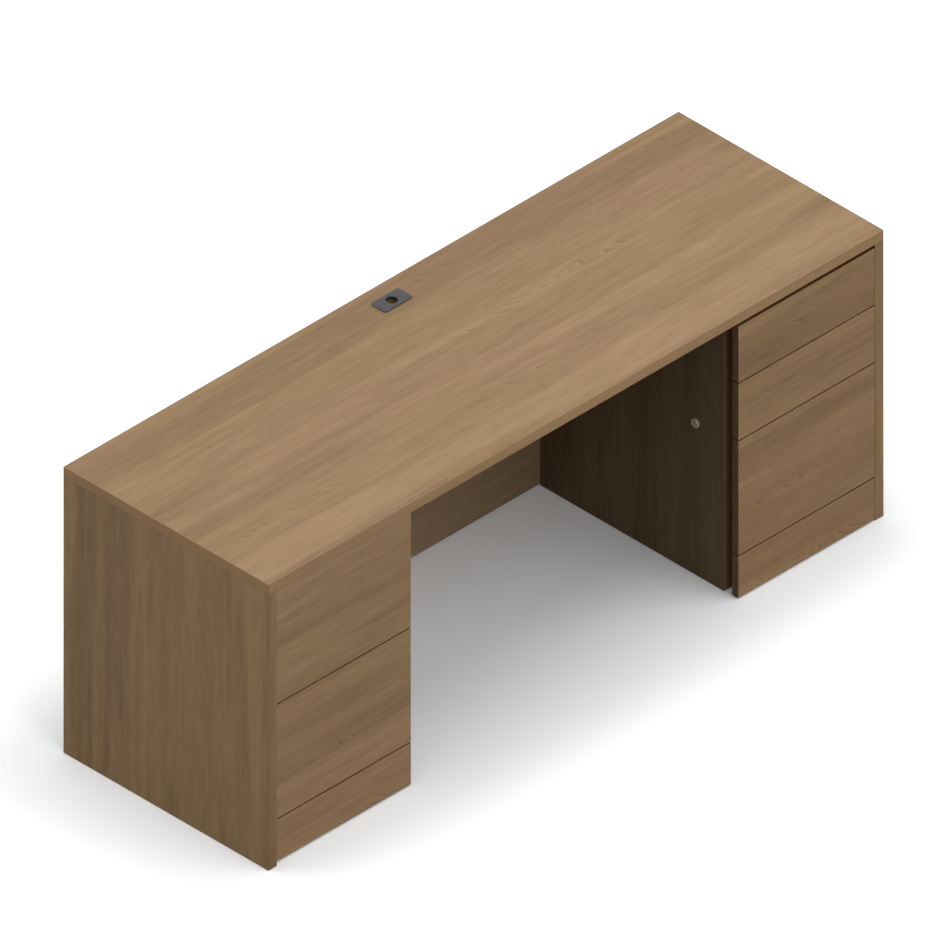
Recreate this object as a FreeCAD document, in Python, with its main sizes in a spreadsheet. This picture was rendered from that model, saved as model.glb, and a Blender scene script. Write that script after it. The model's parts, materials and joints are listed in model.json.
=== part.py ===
import FreeCAD, Part
import math
import os
import re
from collections import ChainMap

import Sketcher
from FreeCAD import Placement, Rotation, Vector

# Driving sizes in millimetres: name, value and what it measures.
DIMENSIONS = [
    ("overall_width", 1828.8, "end to end along X"),
    ("overall_depth", 609.6, "front to rear along Y"),
    ("overall_height", 736.6, "floor to the top's surface"),
    ("top_thickness", 26, "worksurface"),
    ("edge_band", 2, "thickness of the strips around the worksurface"),
    ("easing", 0.8, "radius on exposed board edges"),
    ("end_panel_thickness", 25.4, "outer panels"),
    ("pedestal_width", 431.8, "end panel's outside to the gable's kneespace face"),
    ("gable_thickness", 25.4, "inner panels"),
    ("gable_setback", 42.5, "front plane to the gable's front edge"),
    ("back_thickness", 19, "back panel"),
    ("back_inset", 1, "back panel in from the rear plane"),
    ("skirt_gap", 4, "floor to plinths and back panel"),
    ("glide_stand", 1, "floor to end panels and gables"),
    ("plinth_height", 107, "plinth board"),
    ("floor_board_thickness", 19, "board across the bottom of a pedestal"),
    ("floor_board_drop", 2, "plinth's top edge down to the floor board"),
    ("cleat_section", 20, "glue block behind a plinth"),
    ("front_thickness", 19, "drawer fronts and plinths"),
    ("front_gap", 3, "between fronts, one above another"),
    ("front_side_gap", 0.8, "front to end panel"),
    ("front_top_gap", 8.2, "right upper front to worksurface"),
    ("left_front_setback", 8, "front plane to the left fronts"),
    ("right_front_setback", 0, "front plane to the right fronts"),
    ("drawer_drop", 14, "front's lower edge up to the drawer box"),
    ("box_headroom", 36, "box drawer's sides down from its front's upper edge"),
    ("file_headroom", 50, "file drawer's sides down from its front's upper edge"),
    ("drawer_wall", 12, "drawer sides and ends"),
    ("drawer_rear_gap", 33, "drawer box to back panel"),
    ("bottom_sheet", 5, "drawer bottom"),
    ("bottom_rise", 12, "drawer box's lower edge up to its bottom"),
    ("bottom_groove", 6, "depth of the groove that holds the bottom"),
    ("groove_play", 0.2, "groove wider than the bottom sheet"),
    ("bottom_play", 0.5, "bottom sheet short of the groove's floor"),
    ("hanger_gauge", 1.5, "sheet of the hanger bars"),
    ("hanger_reach", 12, "hanger bar in from the drawer side"),
    ("hanger_lip", 12, "upright lip that folders hang on"),
    ("slide_thickness", 12.7, "drawer slide, panel to drawer side"),
    ("slide_height", 45, "drawer slide's cabinet rail"),
    ("slide_gauge", 1.4, "sheet of the slide rails"),
    ("slide_play", 0.3, "between nested slide rails"),
    ("cabinet_rail_clear", 3.7, "cabinet rail's lips to the drawer side"),
    ("middle_rail_start", 3, "panel to the middle rail's web"),
    ("middle_rail_clear", 1.7, "middle rail's lips to the drawer side"),
    ("drawer_rail_clear", 1.1, "drawer rail's lips to the middle rail's web"),
    ("slide_front_inset", 3, "gable's front edge to the slide"),
    ("slide_rear_gap", 34, "slide to back panel"),
    ("slide_rise", 47.5, "drawer box's lower edge up to the slide's middle"),
    ("grommet_length", 83, "grommet plate along X"),
    ("grommet_width", 45.5, "grommet plate along Y"),
    ("grommet_thickness", 3, "grommet plate"),
    ("grommet_corner", 9, "radius of the plate's corners"),
    ("grommet_hole", 28, "round cable hole"),
    ("grommet_inset", 61.7, "rear plane to the hole's middle"),
    ("peg_diameter", 6, "pegs under the grommet plate"),
    ("peg_length", 12, "pegs under the grommet plate"),
    ("peg_spacing", 60, "between the pegs"),
    ("lock_setback", 126.5, "front plane to the lock's axis"),
    ("lock_drop", 17.5, "upper fronts' lower edge down to the lock's axis"),
    ("lock_head", 21.5, "diameter of the lock's head"),
    ("lock_stand", 5, "lock's head out from the gable"),
    ("lock_barrel", 16, "diameter of the lock's barrel"),
    ("lock_chamfer", 0.8, "around the lock's head"),
    ("plug_diameter", 11, "turning plug"),
    ("plug_recess", 0.5, "plug's face in from the head's face"),
    ("plug_play", 0.3, "around the plug"),
    ("key_slot_width", 2.2, "keyway"),
    ("key_slot_length", 7, "keyway"),
    ("key_slot_depth", 6, "keyway"),
    ("tail_margin", 0.3, "eccentric pin in from the rim of the plug's tail disc"),
    ("tail_thickness", 1.8, "disc on the plug's inner end"),
    ("throw_radius", 5, "plug's axis to its eccentric pin"),
    ("throw_pin", 4, "diameter of the eccentric pin"),
    ("throw_play", 0.5, "around the eccentric pin in the bar"),
    ("bar_width", 18, "lock bar"),
    ("bar_thickness", 3, "lock bar"),
    ("bar_face_play", 0.7, "lock bar in from the gable's face"),
    ("bar_side_play", 0.5, "lock bar to each side of its groove"),
    ("bar_tail_play", 0.4, "plug's tail to the lock bar"),
    ("bar_end_play", 0.5, "lock bar above its groove's lower end"),
    ("bar_below", 16, "lock bar past its lowest drawer's box"),
    ("bar_above", 30, "lock bar past its highest drawer's box"),
    ("finger_diameter", 6, "fingers of the lock bar"),
    ("finger_reach", 8, "finger under the drawer side"),
    ("finger_clear", 2, "unlocked finger to the drawer side"),
    ("notch_height", 9, "notch in the drawer side for the finger"),
    ("notch_play", 0.8, "finger to each side of its notch"),
    ("guide_length", 36, "strap over the lock bar"),
    ("guide_height", 12, "strap over the lock bar"),
    ("guide_gauge", 1.5, "strap over the lock bar"),
    ("guide_rise", 8, "drawer box's lower edge up to the strap"),
    ("cam_diameter", 15, "cam disc"),
    ("cam_depth", 12.5, "cam disc"),
    ("cam_setback", 34, "board's edge to the cam's middle"),
    ("cam_inset", 70, "board's end to its first cam joint"),
    ("cam_rise", 120, "back panel's ends to its cam joints"),
    ("post_diameter", 7, "cam post"),
    ("post_neck", 5, "cam post where the cam grips it"),
    ("post_embed", 11, "cam post in the board it is fixed to"),
    ("post_past", 3, "cam post past the cam's middle"),
    ("post_axis", 9.5, "board's face to the post's axis"),
    ("dowel_diameter", 8, "wooden dowel"),
    ("dowel_length", 30, "wooden dowel"),
    ("dowel_offset", 32, "cam post to its dowel"),
    ("fit", 0.1, "around fixed pieces in their bores"),
    ("bore_play", 0.3, "bores deeper than the pieces in them"),
    ("glide_diameter", 14, "floor glide's head"),
    ("glide_head", 4, "floor glide's head"),
    ("glide_chamfer", 0.8, "around the floor glide's head"),
    ("glide_stem", 6, "diameter of the floor glide's stem"),
    ("glide_stem_length", 16, "floor glide's stem"),
    ("glide_inset", 40, "panel's ends to its floor glides"),
]
SIZES = {name for name, value, meaning in DIMENSIONS}

# Places worked out from the sizes. X runs right, Y to the rear and Z up from the middle of the floor.
PLACES = {
    "half_width": "overall_width / 2",
    "front_plane": "-overall_depth / 2",
    "rear_plane": "overall_depth / 2",
    "top_low": "overall_height - top_thickness",
    "back_face": "rear_plane - back_inset - back_thickness",
    "gable_front": "front_plane + gable_setback",
    "end_inner": "end_panel_thickness",
    "gable_inner": "pedestal_width - gable_thickness",
    "plinth_top": "skirt_gap + plinth_height",
    "floor_board_top": "plinth_top - floor_board_drop",
    "floor_board_low": "floor_board_top - floor_board_thickness",
    "fronts_low": "plinth_top + front_gap",
    "fronts_high": "top_low - front_top_gap",
    "file_front": "(fronts_high - fronts_low - front_gap) / 2",
    "box_front": "(file_front - front_gap) / 2",
    "slide_front": "gable_front + slide_front_inset",
    "slide_rear": "back_face - slide_rear_gap",
    "upper_half": "fronts_low + file_front + front_gap",
    "upper_box": "upper_half + box_front + front_gap",
    "left_upper_front": "top_low - front_gap - upper_half",
    "grommet_y": "rear_plane - grommet_inset",
    "lock_y": "front_plane + lock_setback",
    "lock_height": "upper_half - lock_drop",
    "bar_groove_depth": "plug_play + tail_thickness + bar_tail_play + bar_thickness + bar_face_play",
    "barrel_length": "gable_thickness - bar_groove_depth",
    "tail_radius": "throw_radius + throw_pin / 2 + tail_margin",
    "throw_rise": "throw_radius * sqrt(0.5)",
    "bar_lift": "2 * throw_rise",
    "bar_near": "pedestal_width - barrel_length - plug_play - tail_thickness - bar_tail_play",
    "bar_far": "bar_near - bar_thickness",
    "bar_low": "fronts_low + drawer_drop - bar_below",
    "left_bar_high": "upper_half + drawer_drop + bar_above",
    "right_bar_high": "upper_box + drawer_drop + bar_above",
    "plug_face": "lock_stand - plug_recess",
    "tail_top": "-barrel_length - plug_play",
    "tail_low": "tail_top - tail_thickness",
    "throw_slot_middle": "lock_height - throw_rise",
    "throw_slot_half": "throw_pin / 2 + throw_play",
    "cam_seat": "cam_diameter + 2 * fit",
    "post_bore": "post_diameter + 2 * fit",
    "dowel_bore": "dowel_diameter + 2 * fit",
    "dowel_half": "dowel_length / 2",
}

# Sketch plane across each axis: its role, its two directions and the sign of its normal.
PLANES = {
    "x": ("YZ_Plane", "yz", 1),
    "y": ("XZ_Plane", "xz", -1),
    "z": ("XY_Plane", "xy", 1),
}
DIRECTIONS = {
    "+x": Vector(1, 0, 0), "-x": Vector(-1, 0, 0),
    "+y": Vector(0, 1, 0), "-y": Vector(0, -1, 0),
    "+z": Vector(0, 0, 1), "-z": Vector(0, 0, -1),
}
LEFT = -1
RIGHT = 1

doc = FreeCAD.newDocument("KneespaceCredenza")
sheet = doc.addObject("Spreadsheet::Sheet", "dims")
for row, (name, value, meaning) in enumerate(DIMENSIONS, start=1):
    sheet.set(f"A{row}", str(value))
    sheet.setAlias(f"A{row}", name)
    sheet.set(f"B{row}", meaning)
doc.recompute()


def formula(text, places=PLACES):
    """Sheet expression for a text written with the names of sizes and places."""
    def spelled(match):
        word = match.group(0)
        if word in places:
            return f"({formula(places[word], places)})"
        if word in SIZES:
            return f"dims.{word}"
        return word
    return re.sub(r"[A-Za-z_]\w*", spelled, text)


class Piece:
    """A body with its lowest corner at a named place and its features bound to the sheet."""

    def __init__(self, label, corner=("0", "0", "0"), places=PLACES):
        self.label = label
        self.places = places
        self.corner = dict(zip("xyz", corner))
        self.body = doc.addObject("PartDesign::Body", label)
        self.place(corner)

    def bind(self, target, name, text):
        target.setExpression(name, formula(text, self.places))

    def place(self, spot, turn=Rotation()):
        self.body.Placement = Placement(Vector(), turn)
        for axis, text in zip("xyz", spot):
            self.bind(self.body, f"Placement.Base.{axis}", text)

    def local(self, axis, text):
        return f"({text}) - ({self.corner[axis]})"

    def feature(self, kind, sketch):
        made = self.body.newObject(kind, f"{self.label}_{kind.split('::')[1].lower()}")
        made.Profile = sketch
        return made

    def sketch(self, axis, level):
        """Empty sketch across an axis, at a place along it."""
        role, _, normal = PLANES[axis]
        made = self.body.newObject("Sketcher::SketchObject", f"{self.label}_sketch")
        plane = next(item for item in self.body.Origin.OriginFeatures if item.Role == role)
        made.AttachmentSupport = [(plane, "")]
        made.MapMode = "FlatFace"
        self.bind(made, "AttachmentOffset.Base.z", f"{normal} * ({self.local(axis, level)})")
        return made

    def dimension(self, sketch, kind, place, text):
        """Distance from the sketch's origin to a point, along one of its directions."""
        index = sketch.addConstraint(Sketcher.Constraint(kind, -1, 1, *place, 1))
        self.bind(sketch, f"Constraints[{index}]", text)

    def polygon(self, sketch, points):
        """Closed outline through local points."""
        count = len(points)
        start = [Vector(math.cos(6.28 * k / count), math.sin(6.28 * k / count), 0) for k in range(count)]
        lines = [sketch.addGeometry(Part.LineSegment(start[k - 1], start[k])) for k in range(count)]
        for k, (across, up) in enumerate(points):
            sketch.addConstraint(Sketcher.Constraint("Coincident", lines[k], 2, lines[(k + 1) % count], 1))
            self.dimension(sketch, "DistanceX", (lines[k], 2), across)
            self.dimension(sketch, "DistanceY", (lines[k], 2), up)

    def circles(self, sketch, points, diameter):
        """Circles of one diameter around local points."""
        for across, up in points:
            ring = sketch.addGeometry(Part.Circle(Vector(1, 1, 0), Vector(0, 0, 1), 1))
            index = sketch.addConstraint(Sketcher.Constraint("Diameter", ring, 2))
            self.bind(sketch, f"Constraints[{index}]", diameter)
            self.dimension(sketch, "DistanceX", (ring, 3), across)
            self.dimension(sketch, "DistanceY", (ring, 3), up)

    def grow(self, sketch, toward, length):
        """Pad from a sketch in a direction."""
        pad = self.feature("PartDesign::Pad", sketch)
        pad.Reversed = (toward[0] == "+") != (PLANES[toward[1]][2] == 1)
        self.bind(pad, "Length", length)
        doc.recompute()
        return self

    def cut(self, sketch, toward, depth):
        """Pocket from a sketch in a direction, which has to remove something."""
        before = self.body.Shape.Volume
        pocket = self.feature("PartDesign::Pocket", sketch)
        pocket.Reversed = (toward[0] == "+") == (PLANES[toward[1]][2] == 1)
        self.bind(pocket, "Length", depth)
        doc.recompute()
        if before - self.body.Shape.Volume < 1:
            raise RuntimeError(f"{self.label}: a pocket removed nothing")
        return self

    def drill(self, toward, points, diameter, depth):
        """Round holes from points on one face into the piece."""
        return self.cut(self.ringed(toward[1], points, diameter), toward, depth)

    def pin(self, toward, points, diameter, length):
        """Round pins from points on one face out of the piece."""
        return self.grow(self.ringed(toward[1], points, diameter), toward, length)

    def ringed(self, axis, points, diameter):
        made = self.sketch(axis, points[0]["xyz".index(axis)])
        spots = [
            [self.local(way, point["xyz".index(way)]) for way in PLANES[axis][1]]
            for point in points
        ]
        self.circles(made, spots, diameter)
        return made

    def slot(self, toward, level, first, second, depth):
        """Rectangular pocket from a face, between two spans across it."""
        axis = toward[1]
        made = self.sketch(axis, level)
        ways = PLANES[axis][1]
        left, right = [self.local(ways[0], text) for text in first]
        low, high = [self.local(ways[1], text) for text in second]
        self.polygon(made, [(left, low), (right, low), (right, high), (left, high)])
        return self.cut(made, toward, depth)

    def turned(self, profile):
        """Solid of revolution about the local Z axis through points of radius and height."""
        made = self.sketch("y", "0")
        self.polygon(made, profile)
        turn = self.feature("PartDesign::Revolution", made)
        turn.ReferenceAxis = (made, ["V_Axis"])
        turn.Angle = 360
        doc.recompute()
        return self

    def ease(self, radius, chosen):
        """Round the chosen edges of the solid so far."""
        tip = self.body.Tip
        names = [f"Edge{k}" for k, edge in enumerate(tip.Shape.Edges, start=1) if chosen(edge)]
        rounding = self.body.newObject("PartDesign::Fillet", f"{self.label}_easing")
        rounding.Base = (tip, names)
        self.bind(rounding, "Radius", radius)
        doc.recompute()
        return self


def along(edge, axis):
    """Whether a straight edge runs along an axis."""
    step = edge.Vertexes[-1].Point - edge.Vertexes[0].Point
    return edge.Length - abs(getattr(step, axis)) < 1e-6


def on_side(edge, side, box):
    """Whether an edge lies in one side of a bounding box, such as -y."""
    limit = getattr(box, side[1].upper() + ("Max" if side[0] == "+" else "Min"))
    return all(abs(getattr(vertex.Point, side[1]) - limit) < 1e-6 for vertex in edge.Vertexes)


def board(label, x, y, z, thin, places=PLACES, eased=()):
    """Rectangular board between places, drawn across its thin axis.

    Each eased entry names a side and the directions of the edges around it that are rounded.
    """
    spans = {"x": x, "y": y, "z": z}
    made = Piece(label, (x[0], y[0], z[0]), places)
    size = {axis: f"({high}) - ({low})" for axis, (low, high) in spans.items()}
    across, up = PLANES[thin][1]
    outline = made.sketch(thin, spans[thin][0])
    made.polygon(outline, [("0", "0"), (size[across], "0"), (size[across], size[up]), ("0", size[up])])
    made.grow(outline, "+" + thin, size[thin])
    if eased:
        box = made.body.Tip.Shape.BoundBox
        made.ease("easing", lambda edge: any(
            on_side(edge, side, box) and any(along(edge, way) for way in ways) for side, ways in eased))
    return made


ALL_EDGES = (("-x", "yz"), ("+x", "yz"), ("-y", "xz"), ("+y", "xz"))


def group(label, members):
    """One sub-part made of separate solids."""
    made = doc.addObject("Part::Compound", label)
    made.Links = [getattr(member, "body", member) for member in members]
    doc.recompute()
    return made


def copy_at(template, label, spot, turn, places=PLACES):
    """Copy of a template piece at a place."""
    made = doc.addObject("App::Link", label)
    made.LinkedObject = template.body
    made.Placement = Placement(Vector(), turn)
    for axis, text in zip("xyz", spot):
        made.setExpression(f"Placement.Base.{axis}", formula(text, places))
    return made


def span_x(side, near, far):
    """Span along X between two distances in from the outer end of the left or right pedestal."""
    if side == LEFT:
        return f"-half_width + ({near})", f"-half_width + ({far})"
    return f"half_width - ({far})", f"half_width - ({near})"


def at_x(side, distance):
    """Place along X at a distance in from the outer end of the left or right pedestal."""
    return span_x(side, distance, distance)[0]


def inward(side):
    """Direction along X from an end panel towards the kneespace."""
    return "+x" if side == LEFT else "-x"


def outward(side):
    """Direction along X from the kneespace towards an end panel."""
    return "-x" if side == LEFT else "+x"


def side_name(side):
    return "left" if side == LEFT else "right"


def setback(side):
    return f"{side_name(side)}_front_setback"


# Worksurface and its edge bands

worksurface = board(
    "worksurface",
    ("-half_width + edge_band", "half_width - edge_band"),
    ("front_plane + edge_band", "rear_plane - edge_band"),
    ("top_low", "overall_height"),
    "z",
)
worksurface.drill("+z", [("0", "grommet_y", "top_low")], "grommet_hole", "top_thickness + bore_play")

PEGS = [(f"{sign}peg_spacing / 2", "grommet_y", "overall_height") for sign in ("-", "")]
worksurface.drill("-z", PEGS, "peg_diameter + 2 * fit", "peg_length + bore_play")

TOP_SPAN = ("top_low", "overall_height")
FULL_WIDTH = ("-half_width", "half_width")
BETWEEN_BANDS = ("front_plane + edge_band", "rear_plane - edge_band")
edge_bands = [
    board("front_band", FULL_WIDTH, ("front_plane", "front_plane + edge_band"), TOP_SPAN, "y",
          eased=[("-y", "xz")]),
    board("rear_band", FULL_WIDTH, ("rear_plane - edge_band", "rear_plane"), TOP_SPAN, "y",
          eased=[("+y", "xz")]),
    board("left_band", ("-half_width", "-half_width + edge_band"), BETWEEN_BANDS, TOP_SPAN, "x",
          eased=[("-x", "y")]),
    board("right_band", ("half_width - edge_band", "half_width"), BETWEEN_BANDS, TOP_SPAN, "x",
          eased=[("+x", "y")]),
]
group("worksurface_edge_bands", edge_bands)

# Upright panels

PANEL_SPAN = ("glide_stand", "top_low")
end_panels = {}
gables = {}
for side in (LEFT, RIGHT):
    end_panels[side] = board(
        f"{side_name(side)}_end_panel", span_x(side, "0", "end_inner"),
        ("front_plane", "rear_plane"), PANEL_SPAN, "x", eased=[("-y", "z"), ("+y", "z")])
    gables[side] = board(
        f"{side_name(side)}_gable", span_x(side, "gable_inner", "pedestal_width"),
        ("gable_front", "back_face"), PANEL_SPAN, "x", eased=[("-y", "z")])
back_panel = board(
    "back_panel",
    ("-half_width + end_inner", "half_width - end_inner"),
    ("back_face", "back_face + back_thickness"),
    ("skirt_gap", "top_low"),
    "y",
)

# Plinths, pedestal floors and glue blocks

plinths = {}
floor_boards = {}
cleats = []
for side in (LEFT, RIGHT):
    plinth_front = f"front_plane + {setback(side)}"
    plinth_back = f"{plinth_front} + front_thickness"
    plinths[side] = board(
        f"{side_name(side)}_plinth", span_x(side, "end_inner + front_side_gap", "pedestal_width"),
        (plinth_front, plinth_back), ("skirt_gap", "plinth_top"), "y", eased=ALL_EDGES)
    floor_boards[side] = board(
        f"{side_name(side)}_pedestal_floor", span_x(side, "end_inner", "gable_inner"),
        (plinth_back, "back_face"), ("floor_board_low", "floor_board_top"), "z")
    cleats.append(board(
        f"{side_name(side)}_cleat", span_x(side, "end_inner", "end_inner + cleat_section"),
        (plinth_back, f"{plinth_back} + cleat_section"), ("skirt_gap", "floor_board_low"), "z"))
group("plinth_cleats", cleats)

# Knock-down joints: a post in one board, gripped by a cam in the other, with a dowel beside it

post = Piece("cam_post_template").turned([
    ("0", "-post_embed"), ("post_diameter / 2", "-post_embed"),
    ("post_diameter / 2", "cam_setback - post_past"), ("post_neck / 2", "cam_setback - post_past"),
    ("post_neck / 2", "cam_setback"), ("post_diameter / 2", "cam_setback"),
    ("post_diameter / 2", "cam_setback + post_past"), ("0", "cam_setback + post_past"),
])
cam = Piece("cam_disc_template")
cam.pin("-z", [("0", "0", "0")], "cam_diameter", "cam_depth")
cam.drill("+x", [("-cam_diameter", "0", "-post_axis")], "post_bore", "cam_diameter + post_past + bore_play")
dowel = Piece("dowel_template")
dowel.pin("+z", [("0", "0", "-dowel_half")], "dowel_diameter", "dowel_length")

posts = []
cams = []
dowels = []


def shifted(spot, way, distance):
    """Place moved by a distance in a direction."""
    moved = list(spot)
    index = "xyz".index(way[1])
    moved[index] = f"({moved[index]}) {way[0]} ({distance})"
    return tuple(moved)


def cam_joint(gripped, held, spots, into, face, beside):
    """Row of joints at spots where two boards meet.

    The posts stand in the gripped board and run into the held one, whose cams open on the given face.
    """
    back = ("-" if into[0] == "+" else "+") + into[1]
    opposite = ("-" if face[0] == "+" else "+") + face[1]
    seats = [shifted(shifted(spot, into, "cam_setback"), face, "post_axis") for spot in spots]
    pegs = [shifted(spot, beside, "dowel_offset") for spot in spots]
    gripped.drill(back, spots, "post_bore", "post_embed + bore_play")
    gripped.drill(back, pegs, "dowel_bore", "dowel_half + bore_play")
    held.drill(into, spots, "post_bore", "cam_setback + post_past")
    held.drill(into, pegs, "dowel_bore", "dowel_half + bore_play")
    held.drill(opposite, seats, "cam_seat", "cam_depth + bore_play")
    axis = DIRECTIONS[into]
    normal = DIRECTIONS[face]
    along_post = Rotation(Vector(0, 0, 1), axis)
    around_cam = Rotation(axis, normal.cross(axis), normal, "ZXY")
    for spot, seat, peg in zip(spots, seats, pegs):
        posts.append(copy_at(post, "cam_post", spot, along_post))
        cams.append(copy_at(cam, "cam_disc", seat, around_cam))
        dowels.append(copy_at(dowel, "dowel", peg, along_post))


BACK_HEIGHTS = ("skirt_gap + cam_rise", "top_low - cam_rise")
for side in (LEFT, RIGHT):
    end_face = at_x(side, "end_inner")
    gable_face = at_x(side, "gable_inner")
    in_end = at_x(side, "end_inner - post_axis")
    in_gable = at_x(side, "gable_inner + post_axis")
    floor_front = f"front_plane + {setback(side)} + front_thickness"
    floor_rows = (f"{floor_front} + cam_inset", "back_face - cam_inset")
    floor_axis = "floor_board_low + post_axis"
    cam_joint(worksurface, end_panels[side],
              [(in_end, row, "top_low") for row in ("front_plane + cam_inset", "back_face - cam_inset")],
              "-z", inward(side), "-y")
    cam_joint(worksurface, gables[side],
              [(in_gable, row, "top_low") for row in ("gable_front + cam_inset", "back_face - cam_inset")],
              "-z", outward(side), "-y")
    cam_joint(end_panels[side], floor_boards[side],
              [(end_face, row, floor_axis) for row in floor_rows], inward(side), "-z", "+y")
    cam_joint(gables[side], floor_boards[side],
              [(gable_face, row, floor_axis) for row in floor_rows], outward(side), "-z", "+y")
    cam_joint(end_panels[side], back_panel,
              [(end_face, "back_face + post_axis", height) for height in BACK_HEIGHTS],
              inward(side), "-y", "+z")
    cam_joint(back_panel, gables[side],
              [(in_gable, "back_face", height) for height in BACK_HEIGHTS], "-y", outward(side), "+z")
    cam_joint(plinths[side], floor_boards[side],
              [(at_x(side, f"end_inner + {share} * (gable_inner - end_inner)"), floor_front, floor_axis)
               for share in (0.3, 0.7)],
              "+y", "-z", outward(side))
group("cam_posts", posts)
group("cam_discs", cams)
group("dowels", dowels)

# Floor glides under the upright panels

glide = Piece("floor_glide_template").turned([
    ("0", "0"), ("glide_diameter / 2 - glide_chamfer", "0"), ("glide_diameter / 2", "glide_chamfer"),
    ("glide_diameter / 2", "glide_head"), ("glide_stem / 2", "glide_head"),
    ("glide_stem / 2", "glide_head + glide_stem_length"), ("0", "glide_head + glide_stem_length"),
])
glides = []
for side in (LEFT, RIGHT):
    uprights = (
        (end_panels[side], "end_panel_thickness / 2", "front_plane", "rear_plane"),
        (gables[side], "gable_inner + gable_thickness / 2", "gable_front", "back_face"),
    )
    for panel, middle, front, rear in uprights:
        rows = (f"{front} + glide_inset", f"{rear} - glide_inset")
        spots = [(at_x(side, middle), row, "glide_stand") for row in rows]
        panel.drill("+z", spots, "glide_diameter + 2 * fit", "glide_head - glide_stand")
        panel.drill("+z", spots, "glide_stem + 2 * fit",
                    "glide_head - glide_stand + glide_stem_length + bore_play")
        glides += [copy_at(glide, "floor_glide", (x, y, "0"), Rotation()) for x, y, z in spots]
group("floor_glides", glides)

# Cable grommet

grommet = board(
    "cable_grommet",
    ("-grommet_length / 2", "grommet_length / 2"),
    ("grommet_y - grommet_width / 2", "grommet_y + grommet_width / 2"),
    ("overall_height", "overall_height + grommet_thickness"),
    "z",
)
grommet.ease("grommet_corner", lambda edge: along(edge, "z"))
plate = grommet.body.Tip.Shape.BoundBox
grommet.ease("easing", lambda edge: on_side(edge, "+z", plate))
grommet.drill("+z", [("0", "grommet_y", "overall_height")], "grommet_hole", "grommet_thickness + bore_play")
grommet.pin("-z", PEGS, "peg_diameter", "peg_length")


# Drawers and their slides

def channel(label, x, y, z, open_side, places):
    """Slide rail of sheet metal: a long channel open to one side along X."""
    made = board(label, x, y, z, "x", places)
    inside_x = (f"{x[0]} + slide_gauge", x[1]) if open_side == "+x" else (x[0], f"{x[1]} - slide_gauge")
    inside_z = (f"{z[0]} + slide_gauge", f"{z[1]} - slide_gauge")
    made.slot("+y", y[0], inside_x, inside_z, f"({y[1]}) - ({y[0]})")
    return made


def slide_set(name, side, places):
    """The three nested rails on each side of a drawer, by the rail's role."""
    rails = {"cabinet": [], "middle": [], "drawer": []}
    depth_spans = {
        "cabinet": ("0", "slide_thickness - cabinet_rail_clear"),
        "middle": ("middle_rail_start", "slide_thickness - middle_rail_clear"),
        "drawer": ("middle_rail_start + slide_gauge + drawer_rail_clear", "slide_thickness"),
    }
    for order, role in enumerate(rails):
        near, far = depth_spans[role]
        half = f"slide_height / 2 - {order} * (slide_gauge + slide_play)"
        heights = (f"slide_middle - ({half})", f"slide_middle + ({half})")
        outer = span_x(side, f"end_inner + {near}", f"end_inner + {far}")
        inner = span_x(side, f"gable_inner - ({far})", f"gable_inner - ({near})")
        opens = (outward(side), inward(side)) if role == "drawer" else (inward(side), outward(side))
        for place, span, way in zip(("outer", "inner"), (outer, inner), opens):
            rails[role].append(channel(
                f"{name}_{place}_{role}_rail", span, ("slide_front", "slide_rear"), heights, way, places))
    return rails


def drawer_box(name, side, places):
    """Sides, ends and bottom of a drawer, with the bottom held in grooves."""
    box = span_x(side, "end_inner + slide_thickness", "gable_inner - slide_thickness")
    inside = (f"{box[0]} + drawer_wall", f"{box[1]} - drawer_wall")
    depth = ("box_start", "box_end")
    height = ("box_low", "box_high")
    groove = ("box_low + bottom_rise", "box_low + bottom_rise + bottom_sheet + groove_play")
    side_spans = ((box[0], inside[0], "-x"), (inside[1], box[1], "+x"))
    sides = []
    for low, high, into in side_spans:
        wall = board(f"{name}_side", (low, high), depth, height, "x", places)
        face = high if into == "-x" else low
        wall.slot(into, face, depth, groove, "bottom_groove")
        if into == inward(side):
            half = "(finger_diameter / 2 + notch_play)"
            wall.slot(into, face, (f"lock_y - {half}", f"lock_y + {half}"),
                      ("box_low", "box_low + notch_height"), "drawer_wall")
        sides.append(wall)
    end_spans = (("box_start", "box_start + drawer_wall", "-y"), ("box_end - drawer_wall", "box_end", "+y"))
    ends = []
    for low, high, into in end_spans:
        wall = board(f"{name}_end", inside, (low, high), height, "y", places)
        wall.slot(into, high if into == "-y" else low, inside, groove, "bottom_groove")
        ends.append(wall)
    held = "bottom_groove - bottom_play"
    board(
        f"{name}_bottom",
        (f"{inside[0]} - ({held})", f"{inside[1]} + ({held})"),
        (f"box_start + drawer_wall - ({held})", f"box_end - drawer_wall + ({held})"),
        ("box_low + bottom_rise", "box_low + bottom_rise + bottom_sheet"), "z", places)
    group(f"{name}_sides", sides)
    group(f"{name}_ends", ends)
    return box


def hanger_bars(name, box, places):
    """Two angle bars on the tops of a file drawer's sides, with upright lips for hanging folders."""
    run = ("box_start + drawer_wall", "box_end - drawer_wall")
    length = f"({run[1]}) - ({run[0]})"
    rise = ("box_high", "box_high + hanger_lip")
    above = ("box_high + hanger_gauge", "box_high + hanger_lip")
    reach = "drawer_wall + hanger_reach"
    left = board(f"{name}_left_hanger", (box[0], f"{box[0]} + {reach}"), run, rise, "z", places)
    left.slot("+y", run[0], (box[0], f"{box[0]} + {reach} - hanger_gauge"), above, length)
    right = board(f"{name}_right_hanger", (f"{box[1]} - ({reach})", box[1]), run, rise, "z", places)
    right.slot("+y", run[0], (f"{box[1]} - ({reach}) + hanger_gauge", box[1]), above, length)
    group(f"{name}_hanger_bars", [left, right])


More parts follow.
